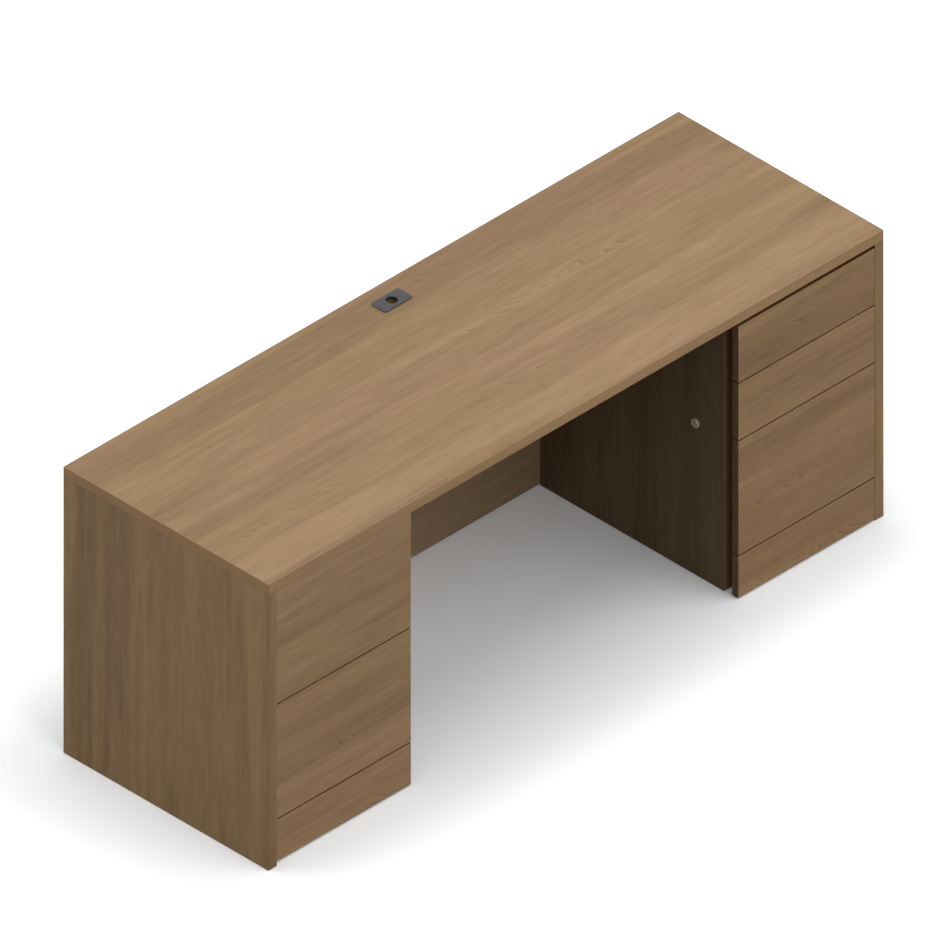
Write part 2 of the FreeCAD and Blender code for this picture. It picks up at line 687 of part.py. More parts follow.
def drawer(name, side, low, height, headroom):
    """A drawer with its front at a height, and its slides. Returns the cabinet's share of the slides."""
    places = ChainMap({
        "face": f"front_plane + {setback(side)}",
        "front_low": low,
        "front_high": f"front_low + {height}",
        "box_start": "face + front_thickness",
        "box_end": "back_face - drawer_rear_gap",
        "box_low": "front_low + drawer_drop",
        "box_high": f"front_high - {headroom}",
        "slide_middle": "box_low + slide_rise",
    }, PLACES)
    board(f"{name}_front", span_x(side, "end_inner + front_side_gap", "pedestal_width"),
          ("face", "box_start"), ("front_low", "front_high"), "y", places, eased=ALL_EDGES)
    box = drawer_box(name, side, places)
    if headroom == "file_headroom":
        hanger_bars(name, box, places)
    rails = slide_set(name, side, places)
    group(f"{name}_middle_rails", rails["middle"])
    group(f"{name}_drawer_rails", rails["drawer"])
    return rails["cabinet"]


DRAWERS = {
    LEFT: (
        ("left_lower_file", "fronts_low", "file_front", "file_headroom"),
        ("left_upper_file", "upper_half", "left_upper_front", "file_headroom"),
    ),
    RIGHT: (
        ("right_file", "fronts_low", "file_front", "file_headroom"),
        ("right_lower_box", "upper_half", "box_front", "box_headroom"),
        ("right_upper_box", "upper_box", "box_front", "box_headroom"),
    ),
}
for side, drawers in DRAWERS.items():
    cabinet_rails = []
    for name, low, height, headroom in drawers:
        cabinet_rails += drawer(name, side, low, height, headroom)
    group(f"{side_name(side)}_cabinet_rails", cabinet_rails)

# Locks: a cylinder in each gable, a plug that turns in it and a bar that the plug lifts

cylinder = Piece("lock_cylinder_template").turned([
    ("plug_diameter / 2 + plug_play", "-barrel_length"), ("lock_barrel / 2", "-barrel_length"),
    ("lock_barrel / 2", "0"), ("lock_head / 2", "0"),
    ("lock_head / 2", "lock_stand - lock_chamfer"), ("lock_head / 2 - lock_chamfer", "lock_stand"),
    ("plug_diameter / 2 + plug_play", "lock_stand"),
])


def lock_plug(side):
    """Plug with a keyway in its face, a tail disc and an eccentric pin that stands low at rest."""
    made = Piece(f"{side_name(side)}_lock_plug").turned([
        ("0", "tail_low"), ("tail_radius", "tail_low"), ("tail_radius", "tail_top"),
        ("plug_diameter / 2", "tail_top"), ("plug_diameter / 2", "plug_face"), ("0", "plug_face"),
    ])
    made.slot("-z", "plug_face", ("-key_slot_width / 2", "key_slot_width / 2"),
              ("-key_slot_length / 2", "key_slot_length / 2"), "key_slot_depth")
    down = "-throw_rise" if side == LEFT else "throw_rise"
    made.pin("-z", [("throw_rise", down, "tail_low")], "throw_pin", "bar_tail_play + bar_thickness")
    axis = DIRECTIONS[inward(side)]
    turn = Rotation(Vector(0, 1, 0), axis.cross(Vector(0, 1, 0)), axis, "ZXY")
    made.place((at_x(side, "pedestal_width"), "lock_y", "lock_height"), turn)
    return turn


def lock_bar(side, lows):
    """Bar in its groove on the gable, with one finger under each drawer's side."""
    bar_high = f"{side_name(side)}_bar_high"
    groove_half = "bar_width / 2 + bar_side_play"
    gable = gables[side]
    gable.slot(inward(side), at_x(side, "gable_inner"),
               (f"lock_y - ({groove_half})", f"lock_y + ({groove_half})"),
               ("bar_low - bar_end_play", f"{bar_high} + bar_lift + bar_end_play"), "bar_groove_depth")
    gable.drill(inward(side), [(at_x(side, "gable_inner"), "lock_y", "lock_height")],
                "lock_barrel + 2 * fit", "gable_thickness + bore_play")
    made = board(f"{side_name(side)}_lock_bar", span_x(side, "bar_far", "bar_near"),
                 ("lock_y - bar_width / 2", "lock_y + bar_width / 2"), ("bar_low", bar_high), "x")
    made.slot(inward(side), at_x(side, "bar_far"),
              ("lock_y + throw_rise - throw_slot_half", "lock_y + throw_radius + throw_slot_half"),
              ("throw_slot_middle - throw_slot_half", "throw_slot_middle + throw_slot_half"),
              "bar_thickness")
    drop = "drawer_drop - finger_clear - finger_diameter / 2"
    fingers = [(at_x(side, "bar_far"), "lock_y", f"{low} + {drop}") for low in lows]
    made.pin(outward(side), fingers, "finger_diameter",
             "bar_far - gable_inner + slide_thickness + finger_reach")


cylinders = []
guides = []
for side, drawers in DRAWERS.items():
    lows = [low for name, low, height, headroom in drawers]
    turn = lock_plug(side)
    lock_bar(side, lows)
    spot = (at_x(side, "pedestal_width"), "lock_y", "lock_height")
    cylinders.append(copy_at(cylinder, "lock_cylinder", spot, turn))
    for low in lows:
        strap_low = f"{low} + drawer_drop + guide_rise"
        guides.append(board(
            "lock_bar_guide", span_x(side, "gable_inner - guide_gauge", "gable_inner"),
            ("lock_y - guide_length / 2", "lock_y + guide_length / 2"),
            (strap_low, f"{strap_low} + guide_height"), "x"))
group("lock_cylinders", cylinders)
group("lock_bar_guides", guides)

# Sub-parts that are written, by label

PARTS = [
    "worksurface", "worksurface_edge_bands", "left_end_panel", "right_end_panel", "left_gable",
    "right_gable", "back_panel", "left_plinth", "right_plinth", "left_pedestal_floor",
    "right_pedestal_floor", "plinth_cleats", "cam_posts", "cam_discs", "dowels", "floor_glides",
    "cable_grommet", "left_cabinet_rails", "right_cabinet_rails", "lock_cylinders", "lock_bar_guides",
    "left_lock_plug", "right_lock_plug", "left_lock_bar", "right_lock_bar",
]
DRAWER_PARTS = ("front", "sides", "ends", "bottom", "middle_rails", "drawer_rails")
for drawers in DRAWERS.values():
    for name, low, height, headroom in drawers:
        PARTS += [f"{name}_{piece}" for piece in DRAWER_PARTS]
        if headroom == "file_headroom":
            PARTS.append(f"{name}_hanger_bars")

doc.recompute()
for item in doc.Objects:
    if {"Invalid", "Error"} & set(item.State):
        raise RuntimeError(f"{item.Label}: {item.State}")
shapes = {label: doc.getObjectsByLabel(label)[0].Shape for label in PARTS}
for label, shape in shapes.items():
    if shape.isNull() or not shape.isValid():
        raise RuntimeError(f"{label}: no valid shape")
os.makedirs("parts", exist_ok=True)
for label, shape in shapes.items():
    shape.exportStep(f"parts/{label}.step")
print(f"{len(PARTS)} sub-parts written")
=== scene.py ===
"""Looks of a kneespace credenza: laminate boards, drawer boxes, slides, locks and fittings."""

import json
import math

import bmesh
import bpy
from bpy.props import FloatProperty, FloatVectorProperty, IntProperty, PointerProperty
from mathutils import Matrix, Vector

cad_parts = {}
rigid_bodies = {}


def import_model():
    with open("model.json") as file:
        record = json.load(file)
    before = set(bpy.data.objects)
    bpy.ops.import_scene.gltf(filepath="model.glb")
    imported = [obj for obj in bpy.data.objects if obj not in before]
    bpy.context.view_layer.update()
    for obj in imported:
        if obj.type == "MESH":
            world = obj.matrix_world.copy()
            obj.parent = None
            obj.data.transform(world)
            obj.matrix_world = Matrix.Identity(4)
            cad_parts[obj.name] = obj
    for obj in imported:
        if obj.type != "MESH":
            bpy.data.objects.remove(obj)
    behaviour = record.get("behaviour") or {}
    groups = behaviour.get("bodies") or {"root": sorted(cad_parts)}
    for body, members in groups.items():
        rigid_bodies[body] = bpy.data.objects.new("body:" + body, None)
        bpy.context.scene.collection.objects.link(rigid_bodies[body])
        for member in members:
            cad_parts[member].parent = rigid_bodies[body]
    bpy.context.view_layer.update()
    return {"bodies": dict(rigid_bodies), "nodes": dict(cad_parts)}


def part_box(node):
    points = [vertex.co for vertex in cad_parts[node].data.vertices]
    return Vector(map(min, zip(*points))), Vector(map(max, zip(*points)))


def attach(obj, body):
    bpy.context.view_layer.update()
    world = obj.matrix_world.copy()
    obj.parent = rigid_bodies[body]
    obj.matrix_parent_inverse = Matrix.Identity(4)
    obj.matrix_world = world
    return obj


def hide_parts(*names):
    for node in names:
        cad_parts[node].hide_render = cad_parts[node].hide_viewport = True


bl_info = {
    "name": "Kneespace Credenza",
    "version": (1, 0, 0),
    "blender": (4, 5, 0),
    "location": "View3D > Sidebar > Credenza",
    "description": "Finishes the packed credenza with laminate, fittings and a studio",
    "category": "Object",
}

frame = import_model()
bpy.ops.object.select_all(action="DESELECT")

# Pieces of the frame by what they are made of

DRAWERS = [body.removesuffix("_drawer") for body in frame["bodies"] if body.endswith("_drawer")]
FILE_DRAWERS = [name for name in DRAWERS if f"{name}_hanger_bars" in frame["nodes"]]
SIDES = ("left", "right")
FRONT_BOARDS = [f"{name}_front" for name in DRAWERS] + [f"{side}_plinth" for side in SIDES]
FLOOR_BOARDS = [f"{side}_pedestal_floor" for side in SIDES]
DRAWER_BOARDS = [f"{name}_{board}" for name in DRAWERS for board in ("sides", "ends")]
DRAWER_BOTTOMS = [f"{name}_bottom" for name in DRAWERS]
DRAWER_RAILS = [f"{name}_{rails}" for name in DRAWERS for rails in ("middle_rails", "drawer_rails")]
CABINET_RAILS = [f"{side}_cabinet_rails" for side in SIDES]
HANGER_BARS = [f"{name}_hanger_bars" for name in FILE_DRAWERS]
LOCK_PLUGS = [f"{side}_lock_plug" for side in SIDES]
LOCK_BARS = [f"{side}_lock_bar" for side in SIDES] + ["lock_bar_guides"]

# Settings that a user would change


def colour(name, description, default, most=1):
    """Property for a colour, each part of which goes from 0 to the most."""
    return FloatVectorProperty(
        name=name, description=description, subtype="COLOR", size=3, min=0, max=most, default=default)


def tint(name, description, default):
    """Property for a colour that others are multiplied by."""
    return colour(name, description, default, most=2)


def length(name, description, default):
    """Property for a size in metres."""
    return FloatProperty(
        name=name, description=description, unit="LENGTH", min=0, precision=4, default=default)


def share(name, description, default):
    """Property for a share from 0 to 1."""
    return FloatProperty(name=name, description=description, subtype="FACTOR", min=0, max=1, default=default)


def level(name, description, default):
    """Property for a level of light or contrast, where 1 shows a colour as it is written."""
    return FloatProperty(name=name, description=description, min=0, default=default)


def angle(name, description, degrees):
    """Property for an angle."""
    return FloatProperty(name=name, description=description, subtype="ANGLE", default=math.radians(degrees))


class BoardSettings(bpy.types.PropertyGroup):
    """Colours and gloss of the boards, and painted shade and painted light on some of their faces"""

    dark: colour("Dark Streaks", "Laminate where its streaks are darkest", (0.197, 0.124, 0.067))
    middle: colour("Laminate", "Laminate between its streaks", (0.303, 0.193, 0.104))
    pale: colour("Pale Streaks", "Laminate where its streaks are palest", (0.403, 0.272, 0.152))
    figure: share("Figure", "How strongly the flame figures show", 0.34)
    gloss: share("Laminate Roughness", "Roughness of the satin laminate", 0.46)
    left_front_tint: tint(
        "Left Front Tint", "Print of the left fronts and plinth against that of the top", (1.03, 1.0, 0.94))
    right_front_tint: tint(
        "Right Front Tint", "Print of the right fronts and plinth against that of the top",
        (0.967, 0.91, 0.833))
    panel_contrast: level(
        "Panel Contrast", "Contrast of the end panels' print against that of the top", 1.18)
    panel_tint: tint("Panel Tint", "Print of the end panels against that of the top", (0.905, 0.88, 0.785))
    # Painted shade: the inner gables are darkened and made bluer to stand for the shade of the kneespace
    painted_gable_shade: tint("Gable Painted Shade", "Painted shade of the inner gables against the top's print", (0.76, 0.8, 0.845))
    # Painted light: the back panel's print is lightened and made bluer to lift the shade of the kneespace
    painted_back_light: tint("Back Painted Light", "Painted light on the back panel against the top's print", (1.22, 1.24, 1.4))
    band_tint: tint("Band Tint", "Edge bands of the top against its print", (1.17, 1.12, 1.02))
    band_end_tint: tint(
        "Band End Tint", "Edge bands at the top's ends against the long ones", (0.93, 0.915, 0.865))
    left_painted_gap_shade: tint(
        "Left Edge Tint", "Left end panel's front edge against its print", (0.88, 0.845, 0.855))
    right_painted_gap_shade: tint(
        "Right Edge Tint", "Right end panel's front edge against its print", (1.0, 0.99, 0.97))
    # Painted shade: the fronts' and plinths' upper and lower edges are darkened to stand for the shade in
    # the gaps between them
    painted_gap_shade: tint(
        "Edge Tint", "Upper and lower edges of the fronts against their print", (0.36, 0.25, 0.17))
    # Painted shade: the fronts' upright ends, which face the kneespace, are darkened and made bluer
    painted_end_shade: tint("Front End Painted Shade", "Upright edges of the fronts against their print", (0.75, 0.68, 0.82))
    # Painted light: the gables' front edges are lightened against the shade that falls on them in the finger
    # pulls
    painted_pull_light: tint(
        "Pull Painted Light", "Gables' front edges in the finger pulls against their print", (1.35, 1.15, 1.0))
    drawer: colour("Drawer Boards", "Melamine of the drawer boxes", (0.36, 0.25, 0.15))
    hardboard: colour("Hardboard", "Drawer bottoms", (0.25, 0.165, 0.095))
    beech: colour("Beech", "Dowels and glue blocks", (0.58, 0.41, 0.25))


class FittingSettings(bpy.types.PropertyGroup):
    """Colours and sizes of the fittings"""

    steel: colour("Zinc Plate", "Slides, lock bars and screws", (0.56, 0.57, 0.58))
    nickel: colour("Nickel", "Lock cylinders and plugs", (0.68, 0.56, 0.49))
    cast_zinc: colour("Cast Zinc", "Cam discs", (0.42, 0.43, 0.44))
    powder_coat: colour("Powder Coat", "Hanger bars", (0.028, 0.028, 0.03))
    plastic: colour("Grommet", "Moulded plastic of the cable grommet", (0.047, 0.0425, 0.0455))
    nylon: colour("Nylon", "Floor glides and slide levers", (0.03, 0.03, 0.032))
    screw_diameter: length("Screw Head", "Diameter of a screw's head", 0.0076)
    screw_height: length("Screw Head Height", "Height of a screw's head", 0.0017)
    screw_count: IntProperty(
        name="Screws per Rail", description="Screws that show on each rail", min=2, default=4)
    lever_length: length("Lever", "Length of a slide lever's flat strip", 0.034)
    lever_width: length("Lever Width", "Width of a slide lever", 0.007)
    lever_height: length("Lever Height", "Thickness of a slide lever", 0.0022)
    grommet_corner: length("Grommet Corners", "Radius of the grommet plate's corners", 0.0065)
    grommet_softening: length("Grommet Softening", "Rounding of the grommet's upper edges", 0.0008)
    grommet_hole: length("Grommet Hole", "Diameter of the cable hole inside its sleeve", 0.0262)
    sleeve_wall: length("Sleeve Wall", "Wall of the sleeve in the worksurface", 0.00055)
    sleeve_depth: length("Sleeve Depth", "How far the sleeve reaches into the worksurface", 0.005)
    peg_spacing: length("Peg Spacing", "Distance between the grommet's two pegs", 0.06)


class StageSettings(bpy.types.PropertyGroup):
    """Light, floor and view"""

    picture_width: length("Picture Width", "Width of the view at the object", 1.9967)
    top_lamp: level("Top Lamp", "Light from straight above", 0.437)
    front_lamp: level("Front Lamp", "Light from above the front", 0.241)
    right_lamp: level("Right Lamp", "Low light from the front right", 0.343)
    rear_lamp: level("Rear Lamp", "Low light from the rear left", 0.411)
    spread: angle("Lamp Spread", "Angle that each lamp fills, which softens its shadows", 45)
    sky: level("Sky", "Even light from all round", 0.311)
    floor_colour: colour("Floor", "Floor as it is seen", (0.955, 0.98, 1.0))
    floor_glow: share("Floor Glow", "Light that lifts the floor where it is seen", 0.05)
    far_glow: share("Far Glow", "Light that lifts the floor where it is seen away from the object", 0.25)
    floor_bounce: share("Floor Bounce", "Share of its light that the floor sends back to the object", 0.04)


# Nodes: numbers of the Mix node's sockets, which has a set for each kind of data

MIX_FACTOR = 0
MIX_VALUES = (2, 3)
MIXED_VALUE = 0
MIX_COLOURS = (6, 7)
MIXED_COLOUR = 2


def add(tree, kind, inputs=None, **settings):
    """Node with its settings, whose inputs are given values or linked from sockets."""
    made = tree.nodes.new(kind)
    for name, value in settings.items():
        setattr(made, name, value)
    for name, value in (inputs or {}).items():
        if isinstance(value, bpy.types.NodeSocket):
            tree.links.new(value, made.inputs[name])
        else:
            made.inputs[name].default_value = value
    return made


def calc(tree, operation, *values):
    """Result of a Math node."""
    return add(tree, "ShaderNodeMath", dict(enumerate(values)), operation=operation).outputs[0]


def vector_calc(tree, operation, *values):
    """Vector from a Vector Math node."""
    return add(tree, "ShaderNodeVectorMath", dict(enumerate(values)), operation=operation).outputs[0]


def smooth(tree, value, start, end):
    """Value that rises smoothly from 0 at start to 1 at end."""
    inputs = {"Value": value, "From Min": start, "From Max": end}
    return add(tree, "ShaderNodeMapRange", inputs, interpolation_type="SMOOTHSTEP").outputs["Result"]


def rise_and_fall(tree, value, start, full, end, gone):
    """Value that rises smoothly from 0 at start to 1 at full, and falls from end to 0 at gone."""
    return calc(tree, "SUBTRACT", smooth(tree, value, start, full), smooth(tree, value, end, gone))


def centred(tree, value, strength):
    """Value about 0.5 turned to one about 0, times a strength."""
    return calc(tree, "MULTIPLY", calc(tree, "SUBTRACT", value, 0.5), strength)


def blend_colour(tree, factor, first, second, blend_type="MIX"):
    """Colour between two others, or between the first and what the second makes of it."""
    inputs = dict(zip((MIX_FACTOR, *MIX_COLOURS), (factor, first, second)))
    made = add(tree, "ShaderNodeMix", inputs, data_type="RGBA", blend_type=blend_type)
    return made.outputs[MIXED_COLOUR]


def choose(tree, factor, first, second):
    """Value that goes from the first to the second as the factor goes from 0 to 1."""
    inputs = dict(zip((MIX_FACTOR, *MIX_VALUES), (factor, first, second)))
    return add(tree, "ShaderNodeMix", inputs, data_type="FLOAT").outputs[MIXED_VALUE]


def object_place(tree):
    """Place on the object, in metres."""
    return tree.nodes.new("ShaderNodeTexCoord").outputs["Object"]


def face_direction(tree):
    """X, Y and Z of the direction that a face looks in."""
    normal = tree.nodes.new("ShaderNodeTexCoord").outputs["Normal"]
    return add(tree, "ShaderNodeSeparateXYZ", {0: normal}).outputs


def looks_along(tree, part, least):
    """1 where a face looks along an axis either way, with more than the least part of its direction."""
    return calc(tree, "GREATER_THAN", calc(tree, "ABSOLUTE", part), least)


def rgba(values):
    """Colour with an alpha of 1."""
    return (*values, 1.0)


def new_group(name, inputs, outputs):
    """Shader node group with its sockets, its input node and its output node."""
    tree = bpy.data.node_groups.new(name, "ShaderNodeTree")
    for label, kind, default in inputs:
        socket = tree.interface.new_socket(name=label, in_out="INPUT", socket_type=kind)
        socket.default_value = default
    for label, kind in outputs:
        tree.interface.new_socket(name=label, in_out="OUTPUT", socket_type=kind)
    return tree, tree.nodes.new("NodeGroupInput").outputs, tree.nodes.new("NodeGroupOutput").inputs


def send(tree, outputs, **values):
    """Links the values to a group's outputs, where a name's underscores are spaces."""
    for name, value in values.items():
        tree.links.new(value, outputs[name.replace("_", " ")])


VALUE = "NodeSocketFloat"
COLOUR = "NodeSocketColor"

# Least part of a face's direction along an axis for the print to turn there, and for a face's tint, painted
# shade and painted light to show

TURNED_FACE = 0.7
TINTED_FACE = 0.8


def make_board_print():
    """Place on a board's printed face, along the grain and across it, in metres."""
    tree, given, sent = new_group(
        "Board Print",
        [("Upright", VALUE, 0.0), ("Ends Run Up", VALUE, 1.0), ("Shift Along", VALUE, 0.0),
         ("Shift Across", VALUE, 0.0)],
        [("Along", VALUE), ("Across", VALUE)])
    place = add(tree, "ShaderNodeSeparateXYZ", {0: object_place(tree)}).outputs
    on_end = looks_along(tree, face_direction(tree)["X"], TURNED_FACE)
    end_along = choose(tree, given["Ends Run Up"], place["Y"], place["Z"])
    end_across = choose(tree, given["Ends Run Up"], place["Z"], place["Y"])
    long_along = choose(tree, on_end, place["X"], end_along)
    long_across = choose(tree, on_end, calc(tree, "ADD", place["Y"], place["Z"]), end_across)
    along = choose(tree, given["Upright"], long_along, place["Z"])
    across = choose(tree, given["Upright"], long_across, calc(tree, "ADD", place["X"], place["Y"]))
    send(tree, sent, Along=calc(tree, "ADD", along, given["Shift Along"]),
         Across=calc(tree, "ADD", across, given["Shift Across"]))
    return tree


# Noise of the grain: features a metre along it and across it, detail, and layer of the noise

GRAIN_ROUGHNESS = 0.55
WANDER = ((0.7, 2.0), 1.0, 0.0)
RIPPLE = ((6.0, 25.0), 1.0, 3.1)
HUE_DRIFT = ((1.3, 4.5), 2.5, 43.0)
FLAME_JITTER = ((6.0, 30.0), 1.0, 37.0)
FLAME_PRESENCE = ((2.0, 7.3), 0.0, 248.15)


def grain_noise(tree, along, across, counts, detail, layer):
    """Noise drawn out along the grain, with so many features a metre along it and across it."""
    point = add(tree, "ShaderNodeCombineXYZ", {
        "X": calc(tree, "MULTIPLY", along, counts[0]),
        "Y": calc(tree, "MULTIPLY", across, counts[1]),
        "Z": layer,
    })
    inputs = {"Vector": point.outputs[0], "Scale": 1.0, "Detail": detail, "Roughness": GRAIN_ROUGHNESS}
    return add(tree, "ShaderNodeTexNoise", inputs, noise_dimensions="3D").outputs["Fac"]


# Flame figures: sizes in metres, and strokes counted along the grain and by their slant across it

FLAME_ROW_SPACING = 0.203
FLAME_HALF_WIDTH = 0.0105
FLAME_OFF_ROW = 0.01
FLAMES_PER_METRE = 25
FLAME_SLANT = 44
FLAME_JITTER_STROKES = 2.6
SMALLEST_FLAME = 0.4

# Where a stroke's pale part and its dark part rise and fall, as shares of the way to the next stroke

PALE_PART = (0.15, 0.4, 0.44, 0.54)
DARK_PART = (0.46, 0.56, 0.6, 0.9)
PALE_STRENGTH = 0.7

# Ranges in which a stroke fades towards its ends, gains strength by chance, and a row sets in

STROKE_FADE = (0.1, 1.0)
STROKE_CHANCE = (0.2, 0.8)
ROW_SETS_IN = (0.5, 0.56)


def make_flame_rows(tree, along, across):
    """Short slanting strokes, each pale and then dark, in rows that come and go along the grain."""
    row = calc(tree, "DIVIDE", across, FLAME_ROW_SPACING)
    row_number = calc(tree, "FLOOR", row)
    off_row = centred(tree, calc(tree, "FRACT", row), FLAME_ROW_SPACING)
    jitter = calc(tree, "MULTIPLY", grain_noise(tree, along, across, *FLAME_JITTER), FLAME_JITTER_STROKES)
    slant = calc(tree, "ADD", calc(tree, "MULTIPLY", off_row, FLAME_SLANT), jitter)
    stroke = calc(tree, "ADD", calc(tree, "MULTIPLY", along, FLAMES_PER_METRE), slant)
    seed = add(tree, "ShaderNodeCombineXYZ", {"X": calc(tree, "FLOOR", stroke), "Y": row_number}).outputs[0]
    chance = add(tree, "ShaderNodeTexWhiteNoise", {"Vector": seed}, noise_dimensions="2D").outputs
    chances = add(tree, "ShaderNodeSeparateColor", {0: chance["Color"]}).outputs

    off_middle = calc(tree, "SUBTRACT", off_row, centred(tree, chances["Red"], FLAME_OFF_ROW))
    reach = calc(tree, "MULTIPLY", calc(tree, "ADD", chances["Green"], SMALLEST_FLAME), FLAME_HALF_WIDTH)
    towards_end = calc(tree, "DIVIDE", calc(tree, "ABSOLUTE", off_middle), reach)
    near = calc(tree, "SUBTRACT", 1.0, smooth(tree, towards_end, *STROKE_FADE))
    strength = calc(tree, "MULTIPLY", near, smooth(tree, chances["Blue"], *STROKE_CHANCE))

    within = calc(tree, "FRACT", stroke)
    pale = calc(tree, "MULTIPLY", rise_and_fall(tree, within, *PALE_PART), PALE_STRENGTH)
    marks = calc(tree, "SUBTRACT", pale, rise_and_fall(tree, within, *DARK_PART))
    present = smooth(tree, grain_noise(tree, along, row_number, *FLAME_PRESENCE), *ROW_SETS_IN)
    return calc(tree, "MULTIPLY", calc(tree, "MULTIPLY", marks, strength), present)


# Layers of the wood print: noise, range in which a mask of it sets in, and how much it lightens the print

PRINT_LAYERS = {
    "dark_bands": {"noise": ((0.5, 8.5), 1.0, 41.65), "sets_in": (0.5, 0.58), "lightens": -0.2},
    "pale_bands": {"noise": ((0.5, 11.0), 1.0, 230.65), "sets_in": (0.52, 0.6), "lightens": 0.18},
    "dark_lines": {"noise": ((2.2, 60.0), 1.0, 11.7), "sets_in": (0.53, 0.69), "lightens": -0.07},
    "pale_lines": {"noise": ((2.6, 72.0), 1.0, 17.9), "sets_in": (0.54, 0.7), "lightens": 0.08},
    "mottle": {"noise": ((3.0, 35.0), 3.0, 23.0), "lightens": 0.54},
    "flecks": {"noise": ((14.0, 88.0), 1.0, 29.3), "lightens": 0.36},
    "fibres": {"noise": ((22.0, 600.0), 2.0, 14.2), "lightens": 0.11},
    "pores": {"noise": ((40.0, 1500.0), 0.0, 21.4), "sets_in": (0.64, 0.78), "lightens": -0.09},
}

# How far the grain wanders and ripples across itself, in metres

WANDER_REACH = 0.02
RIPPLE_REACH = 0.004

# Tints between which the print's hue drifts, and the range of the noise in which it does

GREENER = (0.987, 1.01, 0.965)
REDDER = (1.013, 0.99, 1.035)
HUE_RANGE = (0.35, 0.65)

# Fibres and pores in the gloss, and fibres in the relief against pores

GLOSS_CHANGE = 0.12
FIBRE_RELIEF = 0.5


def make_wood_print():
    """Wood figure: level bands and lines, rows of small flames, mottle, fibres and pores."""
    tree, given, sent = new_group(
        "Wood Print",
        [("Along", VALUE, 0.0), ("Across", VALUE, 0.0), ("Dark", COLOUR, (0, 0, 0, 1)),
         ("Middle", COLOUR, (0.5, 0.5, 0.5, 1)), ("Pale", COLOUR, (1, 1, 1, 1)), ("Figure", VALUE, 0.5)],
        [("Colour", COLOUR), ("Gloss Change", VALUE), ("Height", VALUE)])
    along, across = given["Along"], given["Across"]
    for noise, reach in ((WANDER, WANDER_REACH), (RIPPLE, RIPPLE_REACH)):
        across = calc(tree, "ADD", across, centred(tree, grain_noise(tree, along, across, *noise), reach))

    shade = 0.5
    found = {}
    for name, layer in PRINT_LAYERS.items():
        found[name] = grain_noise(tree, along, across, *layer["noise"])
        if "sets_in" in layer:
            found[name] = smooth(tree, found[name], *layer["sets_in"])
            part = calc(tree, "MULTIPLY", found[name], layer["lightens"])
        else:
            part = centred(tree, found[name], layer["lightens"])
        shade = calc(tree, "ADD", part, shade)
    flames = calc(tree, "MULTIPLY", make_flame_rows(tree, along, across), given["Figure"])
    shade = calc(tree, "ADD", flames, shade)

    # The lower half of the shade goes from dark to middle, and the upper half from middle to pale
    twice = calc(tree, "MULTIPLY", shade, 2.0)
    darker = blend_colour(tree, twice, given["Dark"], given["Middle"])
    shaded = blend_colour(tree, calc(tree, "SUBTRACT", twice, 1.0), darker, given["Pale"])
    drift = smooth(tree, grain_noise(tree, along, across, *HUE_DRIFT), *HUE_RANGE)
    hue = blend_colour(tree, drift, rgba(GREENER), rgba(REDDER))
    fibres, pores = found["fibres"], found["pores"]
    dull_pores = calc(tree, "MULTIPLY", pores, GLOSS_CHANGE)
    send(tree, sent, Colour=blend_colour(tree, 1.0, shaded, hue, "MULTIPLY"),
         Gloss_Change=calc(tree, "ADD", centred(tree, fibres, GLOSS_CHANGE), dull_pores),
         Height=calc(tree, "SUBTRACT", calc(tree, "MULTIPLY", fibres, FIBRE_RELIEF), pores))
    return tree


PATCH_DETAIL = 3.0
GRAIN_DETAIL = 1.0


def make_fine_mottle():
    """Two sizes of fine mottle about 0.5, which can be drawn out along Y."""
    tree, given, sent = new_group(
        "Fine Mottle", [("Along Y", VALUE, 1.0), ("Patches", VALUE, 60.0), ("Grains", VALUE, 1500.0)],
        [("Patch", VALUE), ("Grain", VALUE)])
    stretch = add(tree, "ShaderNodeCombineXYZ", {"X": 1.0, "Y": given["Along Y"], "Z": 1.0}).outputs[0]
    point = vector_calc(tree, "MULTIPLY", object_place(tree), stretch)
    found = {}
    for name, scale, detail in (("Patch", given["Patches"], PATCH_DETAIL),
                                ("Grain", given["Grains"], GRAIN_DETAIL)):
        inputs = {"Vector": point, "Scale": scale, "Detail": detail}
        found[name] = add(tree, "ShaderNodeTexNoise", inputs).outputs["Fac"]
    send(tree, sent, **found)
    return tree


SHARED = {}


def place_group(tree, make, inputs):
    """Outputs of a group that is made once and placed in each material with its own values."""
    if make not in SHARED:
        SHARED[make] = make()
    return add(tree, "ShaderNodeGroup", inputs, node_tree=SHARED[make]).outputs


# Materials


def new_material(name, **sockets):
    """Material with a Principled surface, and that surface's node and tree."""
    material = bpy.data.materials.new(name)
    material.use_nodes = True
    surface = material.node_tree.nodes["Principled BSDF"]
    for label, value in sockets.items():
        surface.inputs[label.replace("_", " ")].default_value = value
    return material, surface, material.node_tree


def paint(tree, surface, tone):
    """Links a colour to a surface."""
    tree.links.new(tone, surface.inputs["Base Color"])


def roughen(tree, surface, middle, change):
    """Roughness about a middle value, clamped to what a surface can have."""
    total = add(tree, "ShaderNodeMath", {0: change, 1: middle}, operation="ADD", use_clamp=True)
    tree.links.new(total.outputs[0], surface.inputs["Roughness"])


def bump(tree, surface, height, strength, distance):
    """Small relief from a height."""
    made = add(tree, "ShaderNodeBump", {"Height": height, "Strength": strength, "Distance": distance})
    tree.links.new(made.outputs[0], surface.inputs["Normal"])


def tinted(tone, factors):
    """Colour times a tint."""
    return [value * factor for value, factor in zip(tone, factors)]


def all_tinted(colours, factors):
    """Colours times a tint."""
    return [tinted(tone, factors) for tone in colours]


def contrasted(colours, contrast):
    """Dark, middle and pale colours with the outer two moved away from the middle one."""
    middle = colours[1]
    return [[centre + (value - centre) * contrast for centre, value in zip(middle, tone)]
            for tone in colours]


